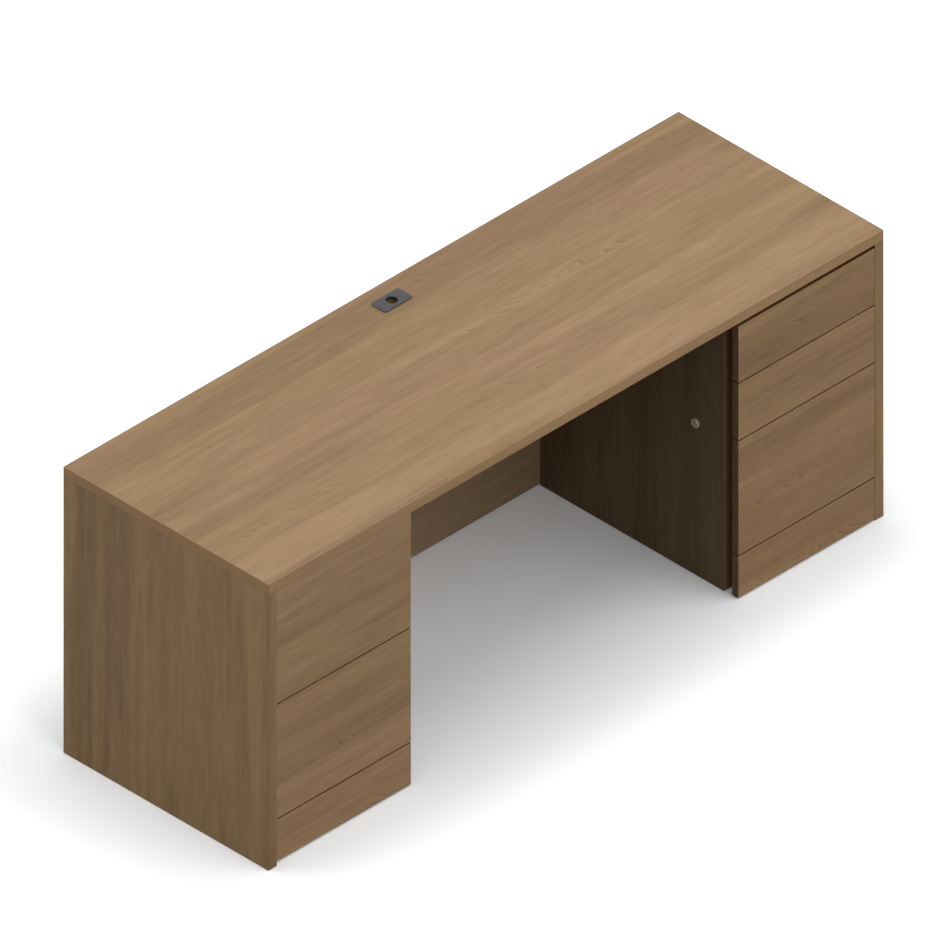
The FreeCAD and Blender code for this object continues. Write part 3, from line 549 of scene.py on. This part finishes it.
def around(middle, spread):
    """Dark, middle and pale colours about a middle one."""
    dark = [value * (1 - spread) for value in middle]
    pale = [min(1.0, value * (1 + spread)) for value in middle]
    return dark, middle, pale


def mottled(tree, factor, tone, spread):
    """Colour that goes from darker to paler than a tone as a factor goes from 0 to 1."""
    dark, _, pale = around(tone, spread)
    return blend_colour(tree, factor, rgba(dark), rgba(pale))


def wood_material(name, colours, figure, roughness, upright=0.0, ends_run_up=1.0, shift=(0.0, 0.0),
                  face_tints_and_painted_light=None):
    """Wood with its grain along X, or up where upright is 1, and with tints for the faces along an axis,
    among them painted shade and painted light.
    """
    material, surface, tree = new_material(name, Specular_IOR_Level=0.12)
    spot = place_group(tree, make_board_print, {
        "Upright": upright, "Ends Run Up": ends_run_up, "Shift Along": shift[0], "Shift Across": shift[1]})
    dark, middle, pale = colours
    wood = place_group(tree, make_wood_print, {
        "Along": spot["Along"], "Across": spot["Across"], "Dark": rgba(dark), "Middle": rgba(middle),
        "Pale": rgba(pale), "Figure": figure})
    tone = wood["Colour"]
    # Tints of the faces along an axis, among them painted shade and painted light
    for axis, factors in (face_tints_and_painted_light or {}).items():
        on_face = looks_along(tree, face_direction(tree)[axis], TINTED_FACE)
        tone = blend_colour(tree, on_face, tone, rgba(factors), "MULTIPLY")
    paint(tree, surface, tone)
    roughen(tree, surface, roughness, wood["Gloss Change"])
    bump(tree, surface, wood["Height"], strength=0.25, distance=0.0001)
    return material


def metal_material(name, tone, roughness, patches, grains, along_y=1.0, metallic=1.0):
    """Plated metal with faint mottle and, where along_y is small, lines drawn out along Y."""
    material, surface, tree = new_material(name, Metallic=metallic)
    given = {"Along Y": along_y, "Patches": patches, "Grains": grains}
    mottle = place_group(tree, make_fine_mottle, given)
    paint(tree, surface, mottled(tree, mottle["Patch"], tone, spread=0.18))
    roughen(tree, surface, roughness, calc(tree, "ADD", centred(tree, mottle["Patch"], strength=0.35),
                                           centred(tree, mottle["Grain"], strength=0.2)))
    bump(tree, surface, mottle["Grain"], strength=0.15, distance=0.00005)
    return material


# Part of a face's direction that is upwards on a moulding's sides and on its top, between which the painted
# side shade fades out

SIDE_TO_TOP = (0.1, 0.8)


def plastic_material(name, tone, roughness, grains, painted_side_shade=None):
    """Moulded or coated surface with a fine spark-eroded texture, and its upright sides darkened by painted
    shade.
    """
    material, surface, tree = new_material(name)
    mottle = place_group(tree, make_fine_mottle, {"Patches": 90.0, "Grains": grains})
    shown = mottled(tree, mottle["Patch"], tone, spread=0.25)
    if painted_side_shade:
        # Painted shade on the upright sides
        on_side = calc(tree, "SUBTRACT", 1.0, smooth(tree, face_direction(tree)["Z"], *SIDE_TO_TOP))
        shown = blend_colour(tree, on_side, shown, rgba(tinted(tone, [painted_side_shade] * 3)))
    paint(tree, surface, shown)
    roughen(tree, surface, roughness, centred(tree, mottle["Grain"], strength=0.2))
    bump(tree, surface, mottle["Grain"], strength=0.5, distance=0.00012)
    return material


def hardboard_material(tone):
    """Pressed hardboard: dark and pale fibres that lie every way."""
    material, surface, tree = new_material("Pressed Hardboard")
    mottle = place_group(tree, make_fine_mottle, {"Patches": 25.0, "Grains": 420.0})
    fleck = calc(tree, "ADD", mottle["Grain"], centred(tree, mottle["Patch"], strength=0.4))
    paint(tree, surface, mottled(tree, fleck, tone, spread=0.4))
    roughen(tree, surface, middle=0.5, change=centred(tree, mottle["Grain"], strength=0.3))
    bump(tree, surface, mottle["Grain"], strength=0.3, distance=0.0001)
    return material


def finish_nodes(material, names):
    """Gives CAD nodes a material."""
    for name in names:
        piece = frame["nodes"][name]
        if not piece.material_slots:
            piece.data.materials.append(material)
        for slot in piece.material_slots:
            slot.material = material


# Shifts of the print along the grain and across it, in metres

TOP_PRINT = (0.0, 0.1199)
BAND_PRINT = (3.1, 0.44)
FRONT_PRINTS = {"left": (24.06, 17.8435), "right": (17.73, 21.9035)}
BACK_PRINT = (1.9, 0.31)
UPRIGHT_PRINT = (8.85, 28.04)

# Spread of the bands' colours about their middle one, and share of the flame figures on upright boards

BAND_SPREAD = 0.2
UPRIGHT_FIGURE = 0.35


class CREDENZA_OT_laminate_boards(bpy.types.Operator):
    """Finish the worksurface, fronts, panels and plinths with wood-grain laminate, painted shade and painted
    light
    """

    bl_idname = "credenza.laminate_boards"
    bl_label = "Laminate Boards"

    def execute(self, context):
        settings = context.scene.credenza_boards
        colours = [tuple(tone) for tone in (settings.dark, settings.middle, settings.pale)]
        figure, gloss = settings.figure, settings.gloss
        top = wood_material("Laminate Top", colours, figure, gloss, ends_run_up=0.0, shift=TOP_PRINT)
        finish_nodes(top, ["worksurface"])

        band_colours = around(tinted(settings.middle, settings.band_tint), BAND_SPREAD)
        untinted = [1 / factor for factor in settings.band_tint]
        bands = wood_material(
            "Laminate Bands", band_colours, figure=0.0, roughness=gloss, ends_run_up=0.0, shift=BAND_PRINT,
            face_tints_and_painted_light={"X": settings.band_end_tint, "Z": untinted})
        finish_nodes(bands, ["worksurface_edge_bands"])

        for side, shift in FRONT_PRINTS.items():
            front_colours = all_tinted(colours, getattr(settings, f"{side}_front_tint"))
            # The fronts' upright ends and their upper and lower edges are darkened: painted shade of the
            # kneespace and of the gaps between the fronts
            fronts = wood_material(
                f"Laminate {side.title()} Fronts", front_colours, figure, gloss, shift=shift,
                face_tints_and_painted_light={"X": settings.painted_end_shade, "Z": settings.painted_gap_shade})
            finish_nodes(fronts, [name for name in FRONT_BOARDS if name.startswith(side)])

        # The back panel's print is lightened and made bluer: painted light in the kneespace
        back_colours = all_tinted(colours, settings.painted_back_light)
        back = wood_material("Laminate Back", back_colours, figure, gloss, shift=BACK_PRINT)
        finish_nodes(back, ["back_panel"])

        upright = {
            "figure": figure * UPRIGHT_FIGURE, "roughness": gloss, "upright": 1.0, "shift": UPRIGHT_PRINT}
        panel_colours = contrasted(all_tinted(colours, settings.panel_tint), settings.panel_contrast)
        for side in SIDES:
            edge_tints = {"Y": getattr(settings, f"{side}_painted_gap_shade")}
            panel = wood_material(
                f"Laminate {side.title()} End Panel", panel_colours, face_tints_and_painted_light=edge_tints, **upright)
            finish_nodes(panel, [f"{side}_end_panel"])
        # The gables are darkened and made bluer for painted shade of the kneespace, and their front edges
        # lightened for painted light in the finger pulls
        gable_colours = all_tinted(colours, settings.painted_gable_shade)
        gables = wood_material(
            "Laminate Gables", gable_colours, face_tints_and_painted_light={"Y": settings.painted_pull_light}, **upright)
        finish_nodes(gables, [f"{side}_gable" for side in SIDES])
        return {"FINISHED"}


class CREDENZA_OT_drawer_boxes(bpy.types.Operator):
    """Finish the drawer boxes and pedestal floors with melamine and hardboard"""

    bl_idname = "credenza.drawer_boxes"
    bl_label = "Drawer Boxes"

    def execute(self, context):
        settings = context.scene.credenza_boards
        colours = around(tuple(settings.drawer), spread=0.22)
        melamine = wood_material("Drawer Melamine", colours, figure=0.15, roughness=0.5)
        finish_nodes(melamine, DRAWER_BOARDS + FLOOR_BOARDS)
        finish_nodes(hardboard_material(tuple(settings.hardboard)), DRAWER_BOTTOMS)
        return {"FINISHED"}


class CREDENZA_OT_hardware(bpy.types.Operator):
    """Finish the slides, locks, hanger bars and knock-down fittings"""

    bl_idname = "credenza.hardware"
    bl_label = "Hardware"

    def execute(self, context):
        settings = context.scene.credenza_fittings
        steel = metal_material(
            "Zinc Plate", tuple(settings.steel), roughness=0.32, patches=45.0, grains=900.0, along_y=0.08)
        finish_nodes(steel, DRAWER_RAILS + CABINET_RAILS + LOCK_BARS + ["cam_posts"])
        nickel = metal_material(
            "Satin Nickel", tuple(settings.nickel), roughness=0.5, patches=120.0, grains=2500.0,
            metallic=0.25)
        finish_nodes(nickel, LOCK_PLUGS + ["lock_cylinders"])
        cast_zinc = metal_material(
            "Cast Zinc", tuple(settings.cast_zinc), roughness=0.5, patches=150.0, grains=1800.0)
        finish_nodes(cast_zinc, ["cam_discs"])
        coating = plastic_material("Powder Coat", tuple(settings.powder_coat), roughness=0.5, grains=1100.0)
        finish_nodes(coating, HANGER_BARS)
        nylon = plastic_material("Moulded Nylon", tuple(settings.nylon), roughness=0.45, grains=900.0)
        finish_nodes(nylon, ["floor_glides"])
        beech_colours = around(tuple(context.scene.credenza_boards.beech), spread=0.15)
        beech = wood_material("Beech", beech_colours, figure=0.0, roughness=0.65)
        finish_nodes(beech, ["dowels", "plinth_cleats"])
        return {"FINISHED"}


# Modelling: edges that turn by less than an angle are shaded smooth

SMOOTH_BELOW = math.radians(35)

# Corners this near a height, in metres, lie at it, and faces this squarely on an axis look along it

TOUCHING = 1e-6
SQUARE_ON = 0.9


def activate(*pieces):
    """Selects these pieces alone and makes the first one active."""
    bpy.ops.object.select_all(action="DESELECT")
    for piece in pieces:
        piece.select_set(True)
    bpy.context.view_layer.objects.active = pieces[0]


def edit(piece, mode="FACE"):
    """Opens a piece for editing with nothing selected."""
    activate(piece)
    bpy.ops.object.mode_set(mode="EDIT")
    bpy.ops.mesh.select_mode(type=mode)
    bpy.ops.mesh.select_all(action="DESELECT")


def pick(piece, items, test):
    """Selects the faces or edges of an open piece that pass a test, and nothing else."""
    bpy.ops.mesh.select_all(action="DESELECT")
    mesh = bmesh.from_edit_mesh(piece.data)
    for item in getattr(mesh, items):
        if test(item):
            item.select_set(True)
    mesh.select_flush_mode()
    bmesh.update_edit_mesh(piece.data)


def close():
    """Ends editing, with sharp edges kept crisp."""
    bpy.ops.object.mode_set(mode="OBJECT")
    bpy.ops.object.shade_smooth_by_angle(angle=SMOOTH_BELOW)


def lies_at(edge, height):
    """Whether both ends of an edge lie at a height."""
    return all(abs(corner.co.z - height) < TOUCHING for corner in edge.verts)


def extrude(move):
    """Extrudes the selected faces by a move."""
    bpy.ops.mesh.extrude_region_move(TRANSFORM_OT_translate={"value": move})


def soften(offset, segments):
    """Rounds the selected edges."""
    bpy.ops.mesh.bevel(offset=offset, segments=segments, affect="EDGES")


def settle(piece):
    """Puts a piece's place, turn and scale into its mesh."""
    activate(piece)
    bpy.ops.object.transform_apply(location=True, rotation=True, scale=True)


def add_post(sides, radius, low, high, x=0):
    """Upright cylinder from one height to another, with its place in its mesh."""
    bpy.ops.mesh.primitive_cylinder_add(
        vertices=sides, radius=radius, depth=high - low, location=(x, 0, (low + high) / 2))
    post = bpy.context.object
    settle(post)
    return post


def cut(piece, cutter):
    """Takes the cutter's shape out of a piece."""
    activate(piece)
    bpy.ops.object.modifier_add(type="BOOLEAN")
    modifier = piece.modifiers[-1]
    modifier.operation = "DIFFERENCE"
    modifier.object = cutter
    bpy.ops.object.modifier_apply(modifier=modifier.name)
    bpy.data.objects.remove(cutter)


def coat(piece, material):
    """Gives a modelled piece one material."""
    piece.data.materials.clear()
    piece.data.materials.append(material)


def lay_copies(pattern, name, places):
    """One piece made of copies of a modelled shape, each at its place."""
    copies = []
    for place in places:
        copy = pattern.copy()
        copy.data = pattern.data.copy()
        bpy.context.collection.objects.link(copy)
        copy.matrix_world = place
        copies.append(copy)
    activate(*copies)
    bpy.ops.object.transform_apply(location=True, rotation=True, scale=True)
    bpy.ops.object.join()
    copies[0].name = name
    return copies[0]


def facing_side(side, spot):
    """Place for a fitting on a drawer's side that faces outwards, -1 to the left and 1 to the right."""
    return Matrix.Translation(spot) @ Matrix.Rotation(side * math.pi / 2, 4, "Y")


# Thickness of a rail and places of the screws on a drawer, in metres

RAIL_GAUGE = 0.0014
SCREW_INSET = 0.024
CORNER_INSET = 0.006
CORNER_RISE = 0.014

# Screw's head: its rounding as a share of its height, and its cross as shares of its radius

SCREW_FACETS = 20
HEAD_ROUNDING = 0.6
CROSS_HALF_WIDTH = 0.18
CROSS_ARM = 0.42


def model_screw(settings):
    """Pan-head screw with a cross recess, standing on the floor of its own space."""
    radius, height = settings.screw_diameter / 2, settings.screw_height
    screw = add_post(SCREW_FACETS, radius, 0, height)
    edit(screw, "EDGE")
    pick(screw, "edges", lambda edge: lies_at(edge, height))
    soften(height * HEAD_ROUNDING, segments=3)
    bpy.ops.object.mode_set(mode="OBJECT")
    bpy.ops.mesh.primitive_cube_add(size=2 * radius * CROSS_HALF_WIDTH, location=(0, 0, height))
    cross = bpy.context.object
    edit(cross)
    pick(cross, "faces", lambda face: abs(face.normal.z) < SQUARE_ON)
    bpy.ops.mesh.extrude_faces_move(TRANSFORM_OT_shrink_fatten={"value": radius * CROSS_ARM})
    bpy.ops.object.mode_set(mode="OBJECT")
    settle(cross)
    cut(screw, cross)
    activate(screw)
    bpy.ops.object.shade_smooth_by_angle(angle=SMOOTH_BELOW)
    coat(screw, bpy.data.materials["Zinc Plate"])
    return screw


def drawer_screw_places(name, count):
    """Places of the screws that show on a drawer's sides, along its rails and at the corners of its box."""
    low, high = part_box(f"{name}_sides")
    rail_low, rail_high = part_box(f"{name}_drawer_rails")
    rail_middle = (rail_low.z + rail_high.z) / 2
    run = rail_high.y - rail_low.y - 2 * SCREW_INSET
    heights = [low.z + CORNER_RISE, high.z - CORNER_RISE]
    if name in FILE_DRAWERS:
        heights.append((low.z + high.z) / 2)
    places = []
    for side, face in ((-1, low.x), (1, high.x)):
        for number in range(count):
            y = rail_low.y + SCREW_INSET + run * number / (count - 1)
            places.append(facing_side(side, (face + side * RAIL_GAUGE, y, rail_middle)))
        for y in (low.y + CORNER_INSET, high.y - CORNER_INSET):
            places += [facing_side(side, (face, y, z)) for z in heights]
    return places


class CREDENZA_OT_screws(bpy.types.Operator):
    """Model a cross-head screw and set it in the drawer rails and the drawer boxes' corners"""

    bl_idname = "credenza.screws"
    bl_label = "Drawer Screws"

    def execute(self, context):
        settings = context.scene.credenza_fittings
        pattern = model_screw(settings)
        for name in DRAWERS:
            screws = lay_copies(pattern, f"{name}_screws", drawer_screw_places(name, settings.screw_count))
            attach(screws, f"{name}_drawer")
        bpy.data.objects.remove(pattern)
        return {"FINISHED"}


# Start of a lever behind the front end of its rail, in metres

LEVER_START = 0.09

# Moves that draw out a lever's thumb tab, its tip and its tail, in the lever's widths, lengths and heights

TAB_MOVE = (0.25, -0.25, 0.3)
TIP_MOVE = (0, -0.3, 0.2)
TAIL_MOVE = (0, 0.12, 0)

# Tab's width as a share of the lever's, and inset and rounding as shares of its height

TAB_WIDTH = 0.6
TAIL_INSET = 0.2
LEVER_ROUNDING = 0.18

# Edges that turn by more than this, in radians, are rounded

ROUNDED_ABOVE = 0.6


def model_lever(settings):
    """Release lever of a slide: a flat strip with a narrower, raised thumb tab, lying along Y."""
    size = Vector((settings.lever_width, settings.lever_length, settings.lever_height))
    bpy.ops.mesh.primitive_cube_add(size=1)
    lever = bpy.context.object
    lever.scale = size
    lever.location = (0, 0, size.z / 2)
    settle(lever)
    edit(lever)
    pick(lever, "faces", lambda face: face.normal.y < -SQUARE_ON)
    extrude(size * Vector(TAB_MOVE))
    bpy.ops.transform.resize(value=(TAB_WIDTH, 1, 1))
    extrude(size * Vector(TIP_MOVE))
    pick(lever, "faces", lambda face: face.normal.y > SQUARE_ON)
    bpy.ops.mesh.inset(thickness=size.z * TAIL_INSET)
    extrude(size * Vector(TAIL_MOVE))
    bpy.ops.mesh.select_all(action="SELECT")
    bpy.ops.mesh.normals_make_consistent(inside=False)
    pick(lever, "edges", lambda edge: edge.is_manifold and edge.calc_face_angle(0) > ROUNDED_ABOVE)
    soften(size.z * LEVER_ROUNDING, segments=2)
    close()
    coat(lever, bpy.data.materials["Moulded Nylon"])
    return lever


class CREDENZA_OT_slide_levers(bpy.types.Operator):
    """Model a slide's release lever and set one on each drawer rail"""

    bl_idname = "credenza.slide_levers"
    bl_label = "Slide Levers"

    def execute(self, context):
        settings = context.scene.credenza_fittings
        pattern = model_lever(settings)
        for name in DRAWERS:
            low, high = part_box(f"{name}_sides")
            rail_low, rail_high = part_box(f"{name}_drawer_rails")
            z = (rail_low.z + rail_high.z) / 2 + settings.screw_diameter / 2 + settings.lever_width
            places = [facing_side(side, (face + side * RAIL_GAUGE, rail_low.y + LEVER_START, z))
                      for side, face in ((-1, low.x), (1, high.x))]
            levers = lay_copies(pattern, f"{name}_slide_levers", places)
            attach(levers, f"{name}_drawer")
        bpy.data.objects.remove(pattern)
        return {"FINISHED"}


# Grommet: sides of its round shapes, and sizes in metres

SLEEVE_SIDES = 64
PEG_SIDES = 24
PEG_RADIUS = 0.003
PEG_CHAMFER = 0.0006
CUTTER_REACH = 0.025
UPRIGHT_EDGE = 1e-4


def model_plate(settings, size_x, size_y, under, over):
    """Grommet's plate between two heights, with round corners, a cable hole and softened upper edges."""
    bpy.ops.mesh.primitive_cube_add(size=1, location=(0, 0, (under + over) / 2))
    plate = bpy.context.object
    plate.scale = (size_x, size_y, over - under)
    settle(plate)
    edit(plate, "EDGE")
    pick(plate, "edges", lambda edge: abs(edge.verts[0].co.z - edge.verts[1].co.z) > UPRIGHT_EDGE)
    soften(settings.grommet_corner, segments=8)
    bpy.ops.object.mode_set(mode="OBJECT")
    cut(plate, add_post(SLEEVE_SIDES, settings.grommet_hole / 2, over - CUTTER_REACH, over + CUTTER_REACH))
    edit(plate, "EDGE")
    pick(plate, "edges", lambda edge: lies_at(edge, over))
    soften(settings.grommet_softening, segments=3)
    close()
    return plate


def model_ring(outer, inner, low, high):
    """Plain tube about the Z axis."""
    ring = add_post(SLEEVE_SIDES, outer, low, high)
    spare = (high - low) / 2
    cut(ring, add_post(SLEEVE_SIDES, inner, low - spare, high + spare))
    return ring


def model_peg(x, low, high):
    """Round peg with a chamfered lower end."""
    peg = add_post(PEG_SIDES, PEG_RADIUS, low, high, x)
    edit(peg, "EDGE")
    pick(peg, "edges", lambda edge: lies_at(edge, low))
    soften(PEG_CHAMFER, segments=2)
    close()
    return peg


class CREDENZA_OT_grommet(bpy.types.Operator):
    """Model the cable grommet: a plate with softened edges and a cable hole, a sleeve and two pegs"""

    bl_idname = "credenza.grommet"
    bl_label = "Cable Grommet"

    def execute(self, context):
        settings = context.scene.credenza_fittings
        low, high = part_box("cable_grommet")
        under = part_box("worksurface")[1].z
        plate = model_plate(settings, high.x - low.x, high.y - low.y, under, high.z)
        bore = settings.grommet_hole / 2
        sleeve = model_ring(bore + settings.sleeve_wall, bore, under - settings.sleeve_depth, under)
        pegs = [model_peg(side * settings.peg_spacing / 2, low.z, under) for side in (-1, 1)]
        activate(plate, sleeve, *pegs)
        bpy.ops.object.join()
        plate.location = ((low.x + high.x) / 2, (low.y + high.y) / 2, 0)
        settle(plate)
        plate.name = "cable_grommet_moulded"
        # The plate's upright sides are darkened: painted shade
        coat(plate, plastic_material(
            "Grommet Plastic", tuple(settings.plastic), roughness=0.42, grains=1300.0, painted_side_shade=0.45))
        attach(plate, "case")
        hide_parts("cable_grommet")
        return {"FINISHED"}


# Studio: sizes in metres

FLOOR_SIZE = 60
LAMP_DISTANCE = 4
CAMERA_DISTANCE = 6

# Distances from the top between which the floor clears, and a shift by which it clears sooner on the right

FLOOR_CLEARS = (0.03, 0.3)
CLEARING_SHIFT = (0.1, 0, 0)

# Lamps' heights above the floor and bearings from the front towards the right, in degrees

LAMPS = {"top_lamp": (90, 0), "front_lamp": (40, 0), "right_lamp": (15, 45), "rear_lamp": (15, 225)}

# Photograph's framing: a parallel view in which the three axes are equally foreshortened

PICTURE_SIZE = 950
NEAR_CORNER_PIXEL = (268.4, 585.0)
VIEW_AZIMUTH = math.radians(-45)
VIEW_ELEVATION = math.atan(math.sqrt(0.5))


def seen_or_reflected(tree):
    """1 where the stage is seen, reflected or seen through glass, and 0 where it lights the object."""
    rays = tree.nodes.new("ShaderNodeLightPath").outputs
    indirectly = calc(tree, "MAXIMUM", rays["Is Glossy Ray"], rays["Is Transmission Ray"])
    return calc(tree, "MAXIMUM", rays["Is Camera Ray"], indirectly)


def floor_material(settings):
    """Pale floor that is seen at its colour and sends less of its light back to the object."""
    material, surface, tree = new_material(
        "Studio Floor", Roughness=1.0, Specular_IOR_Level=0.0, Emission_Color=(1, 1, 1, 1))
    seen = seen_or_reflected(tree)
    bounce = rgba([settings.floor_bounce] * 3)
    paint(tree, surface, blend_colour(tree, seen, bounce, rgba(settings.floor_colour)))
    place = vector_calc(tree, "ABSOLUTE", vector_calc(tree, "ADD", object_place(tree), CLEARING_SHIFT))
    beyond = vector_calc(tree, "SUBTRACT", place, tuple(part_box("worksurface_edge_bands")[1]))
    beyond = vector_calc(tree, "MAXIMUM", beyond, (0, 0, 0))
    distance = add(tree, "ShaderNodeVectorMath", {0: beyond}, operation="LENGTH").outputs["Value"]
    more_glow = settings.far_glow - settings.floor_glow
    lift = calc(tree, "MULTIPLY", smooth(tree, distance, *FLOOR_CLEARS), more_glow)
    glow = calc(tree, "MULTIPLY", seen, calc(tree, "ADD", lift, settings.floor_glow))
    tree.links.new(glow, surface.inputs["Emission Strength"])
    return material


def light_world(settings):
    """Even sky that is white where it is seen or reflected."""
    world = bpy.data.worlds.new("Studio Sky")
    world.use_nodes = True
    tree = world.node_tree
    lift = calc(tree, "MULTIPLY", seen_or_reflected(tree), 1 - settings.sky)
    strength = calc(tree, "ADD", lift, settings.sky)
    background = tree.nodes["Background"]
    background.inputs["Color"].default_value = (1, 1, 1, 1)
    tree.links.new(strength, background.inputs["Strength"])
    bpy.context.scene.world = world


def add_lamp(name, height, bearing, strength, spread):
    """Wide sun lamp that shines on the object from a height and a bearing in degrees."""
    height, bearing = math.radians(height), math.radians(bearing)
    ahead = Vector((math.sin(bearing), -math.cos(bearing), 0))
    towards = ahead * math.cos(height) + Vector((0, 0, math.sin(height)))
    bpy.ops.object.light_add(type="SUN", location=towards * LAMP_DISTANCE)
    lamp = bpy.context.object
    lamp.name = f"studio_{name}"
    lamp.rotation_mode = "QUATERNION"
    lamp.rotation_quaternion = towards.to_track_quat("Z", "Y")
    # A sun with an energy of pi shows a face that looks at it at its own colour
    lamp.data.energy = strength * math.pi
    lamp.data.angle = spread


def view_axes():
    """Directions of the view: to the right, up and back towards the camera."""
    right = Vector((math.cos(VIEW_AZIMUTH), math.sin(VIEW_AZIMUTH), 0))
    level_back = Vector((math.sin(VIEW_AZIMUTH), -math.cos(VIEW_AZIMUTH), 0))
    back = level_back * math.cos(VIEW_ELEVATION) + Vector((0, 0, math.sin(VIEW_ELEVATION)))
    return right, back.cross(right), back


def add_camera(picture_width):
    """Camera with a parallel view that puts the top's near corner where the photograph has it."""
    right, up, back = view_axes()
    low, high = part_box("worksurface_edge_bands")
    near_corner = Vector((low.x, low.y, high.z))
    metres_per_pixel = picture_width / PICTURE_SIZE
    across = (NEAR_CORNER_PIXEL[0] - PICTURE_SIZE / 2) * metres_per_pixel
    rise = (PICTURE_SIZE / 2 - NEAR_CORNER_PIXEL[1]) * metres_per_pixel
    spot = near_corner - right * across - up * rise + back * CAMERA_DISTANCE
    turn = Matrix((right, up, back)).transposed().to_euler()
    bpy.ops.object.camera_add(location=spot, rotation=turn)
    camera = bpy.context.object
    camera.data.type = "ORTHO"
    camera.data.ortho_scale = picture_width
    bpy.context.scene.camera = camera


class CREDENZA_OT_stage(bpy.types.Operator):
    """Set up the floor, the light and the camera"""

    bl_idname = "credenza.stage"
    bl_label = "Stage"

    def execute(self, context):
        settings = context.scene.credenza_stage
        context.scene.view_settings.view_transform = "Standard"
        bpy.ops.mesh.primitive_plane_add(size=FLOOR_SIZE, location=(0, 0, 0))
        floor = context.object
        floor.name = "studio_floor"
        floor.data.materials.append(floor_material(settings))
        light_world(settings)
        for name, (height, bearing) in LAMPS.items():
            add_lamp(name, height, bearing, getattr(settings, name), settings.spread)
        add_camera(settings.picture_width)
        return {"FINISHED"}


class CREDENZA_PT_sidebar(bpy.types.Panel):
    """Steps and settings of the credenza"""

    bl_idname = "CREDENZA_PT_sidebar"
    bl_label = "Kneespace Credenza"
    bl_space_type = "VIEW_3D"
    bl_region_type = "UI"
    bl_category = "Credenza"

    def draw(self, context):
        for step in STEPS:
            self.layout.operator(step.bl_idname)
        for name in SETTINGS:
            group = getattr(context.scene, name)
            column = self.layout.column()
            for key in group.__annotations__:
                column.prop(group, key)


SETTINGS = {
    "credenza_boards": BoardSettings,
    "credenza_fittings": FittingSettings,
    "credenza_stage": StageSettings,
}
STEPS = (
    CREDENZA_OT_laminate_boards,
    CREDENZA_OT_drawer_boxes,
    CREDENZA_OT_hardware,
    CREDENZA_OT_screws,
    CREDENZA_OT_slide_levers,
    CREDENZA_OT_grommet,
    CREDENZA_OT_stage,
)
CLASSES = (*SETTINGS.values(), *STEPS, CREDENZA_PT_sidebar)


def register():
    for item in CLASSES:
        bpy.utils.register_class(item)
    for name, group in SETTINGS.items():
        setattr(bpy.types.Scene, name, PointerProperty(type=group))


def unregister():
    for name in SETTINGS:
        delattr(bpy.types.Scene, name)
    for item in reversed(CLASSES):
        bpy.utils.unregister_class(item)


def main():
    register()
    bpy.ops.credenza.laminate_boards()
    bpy.ops.credenza.drawer_boxes()
    bpy.ops.credenza.hardware()
    bpy.ops.credenza.screws()
    bpy.ops.credenza.slide_levers()
    bpy.ops.credenza.grommet()
    bpy.ops.credenza.stage()


if __name__ == "__main__":
    main()
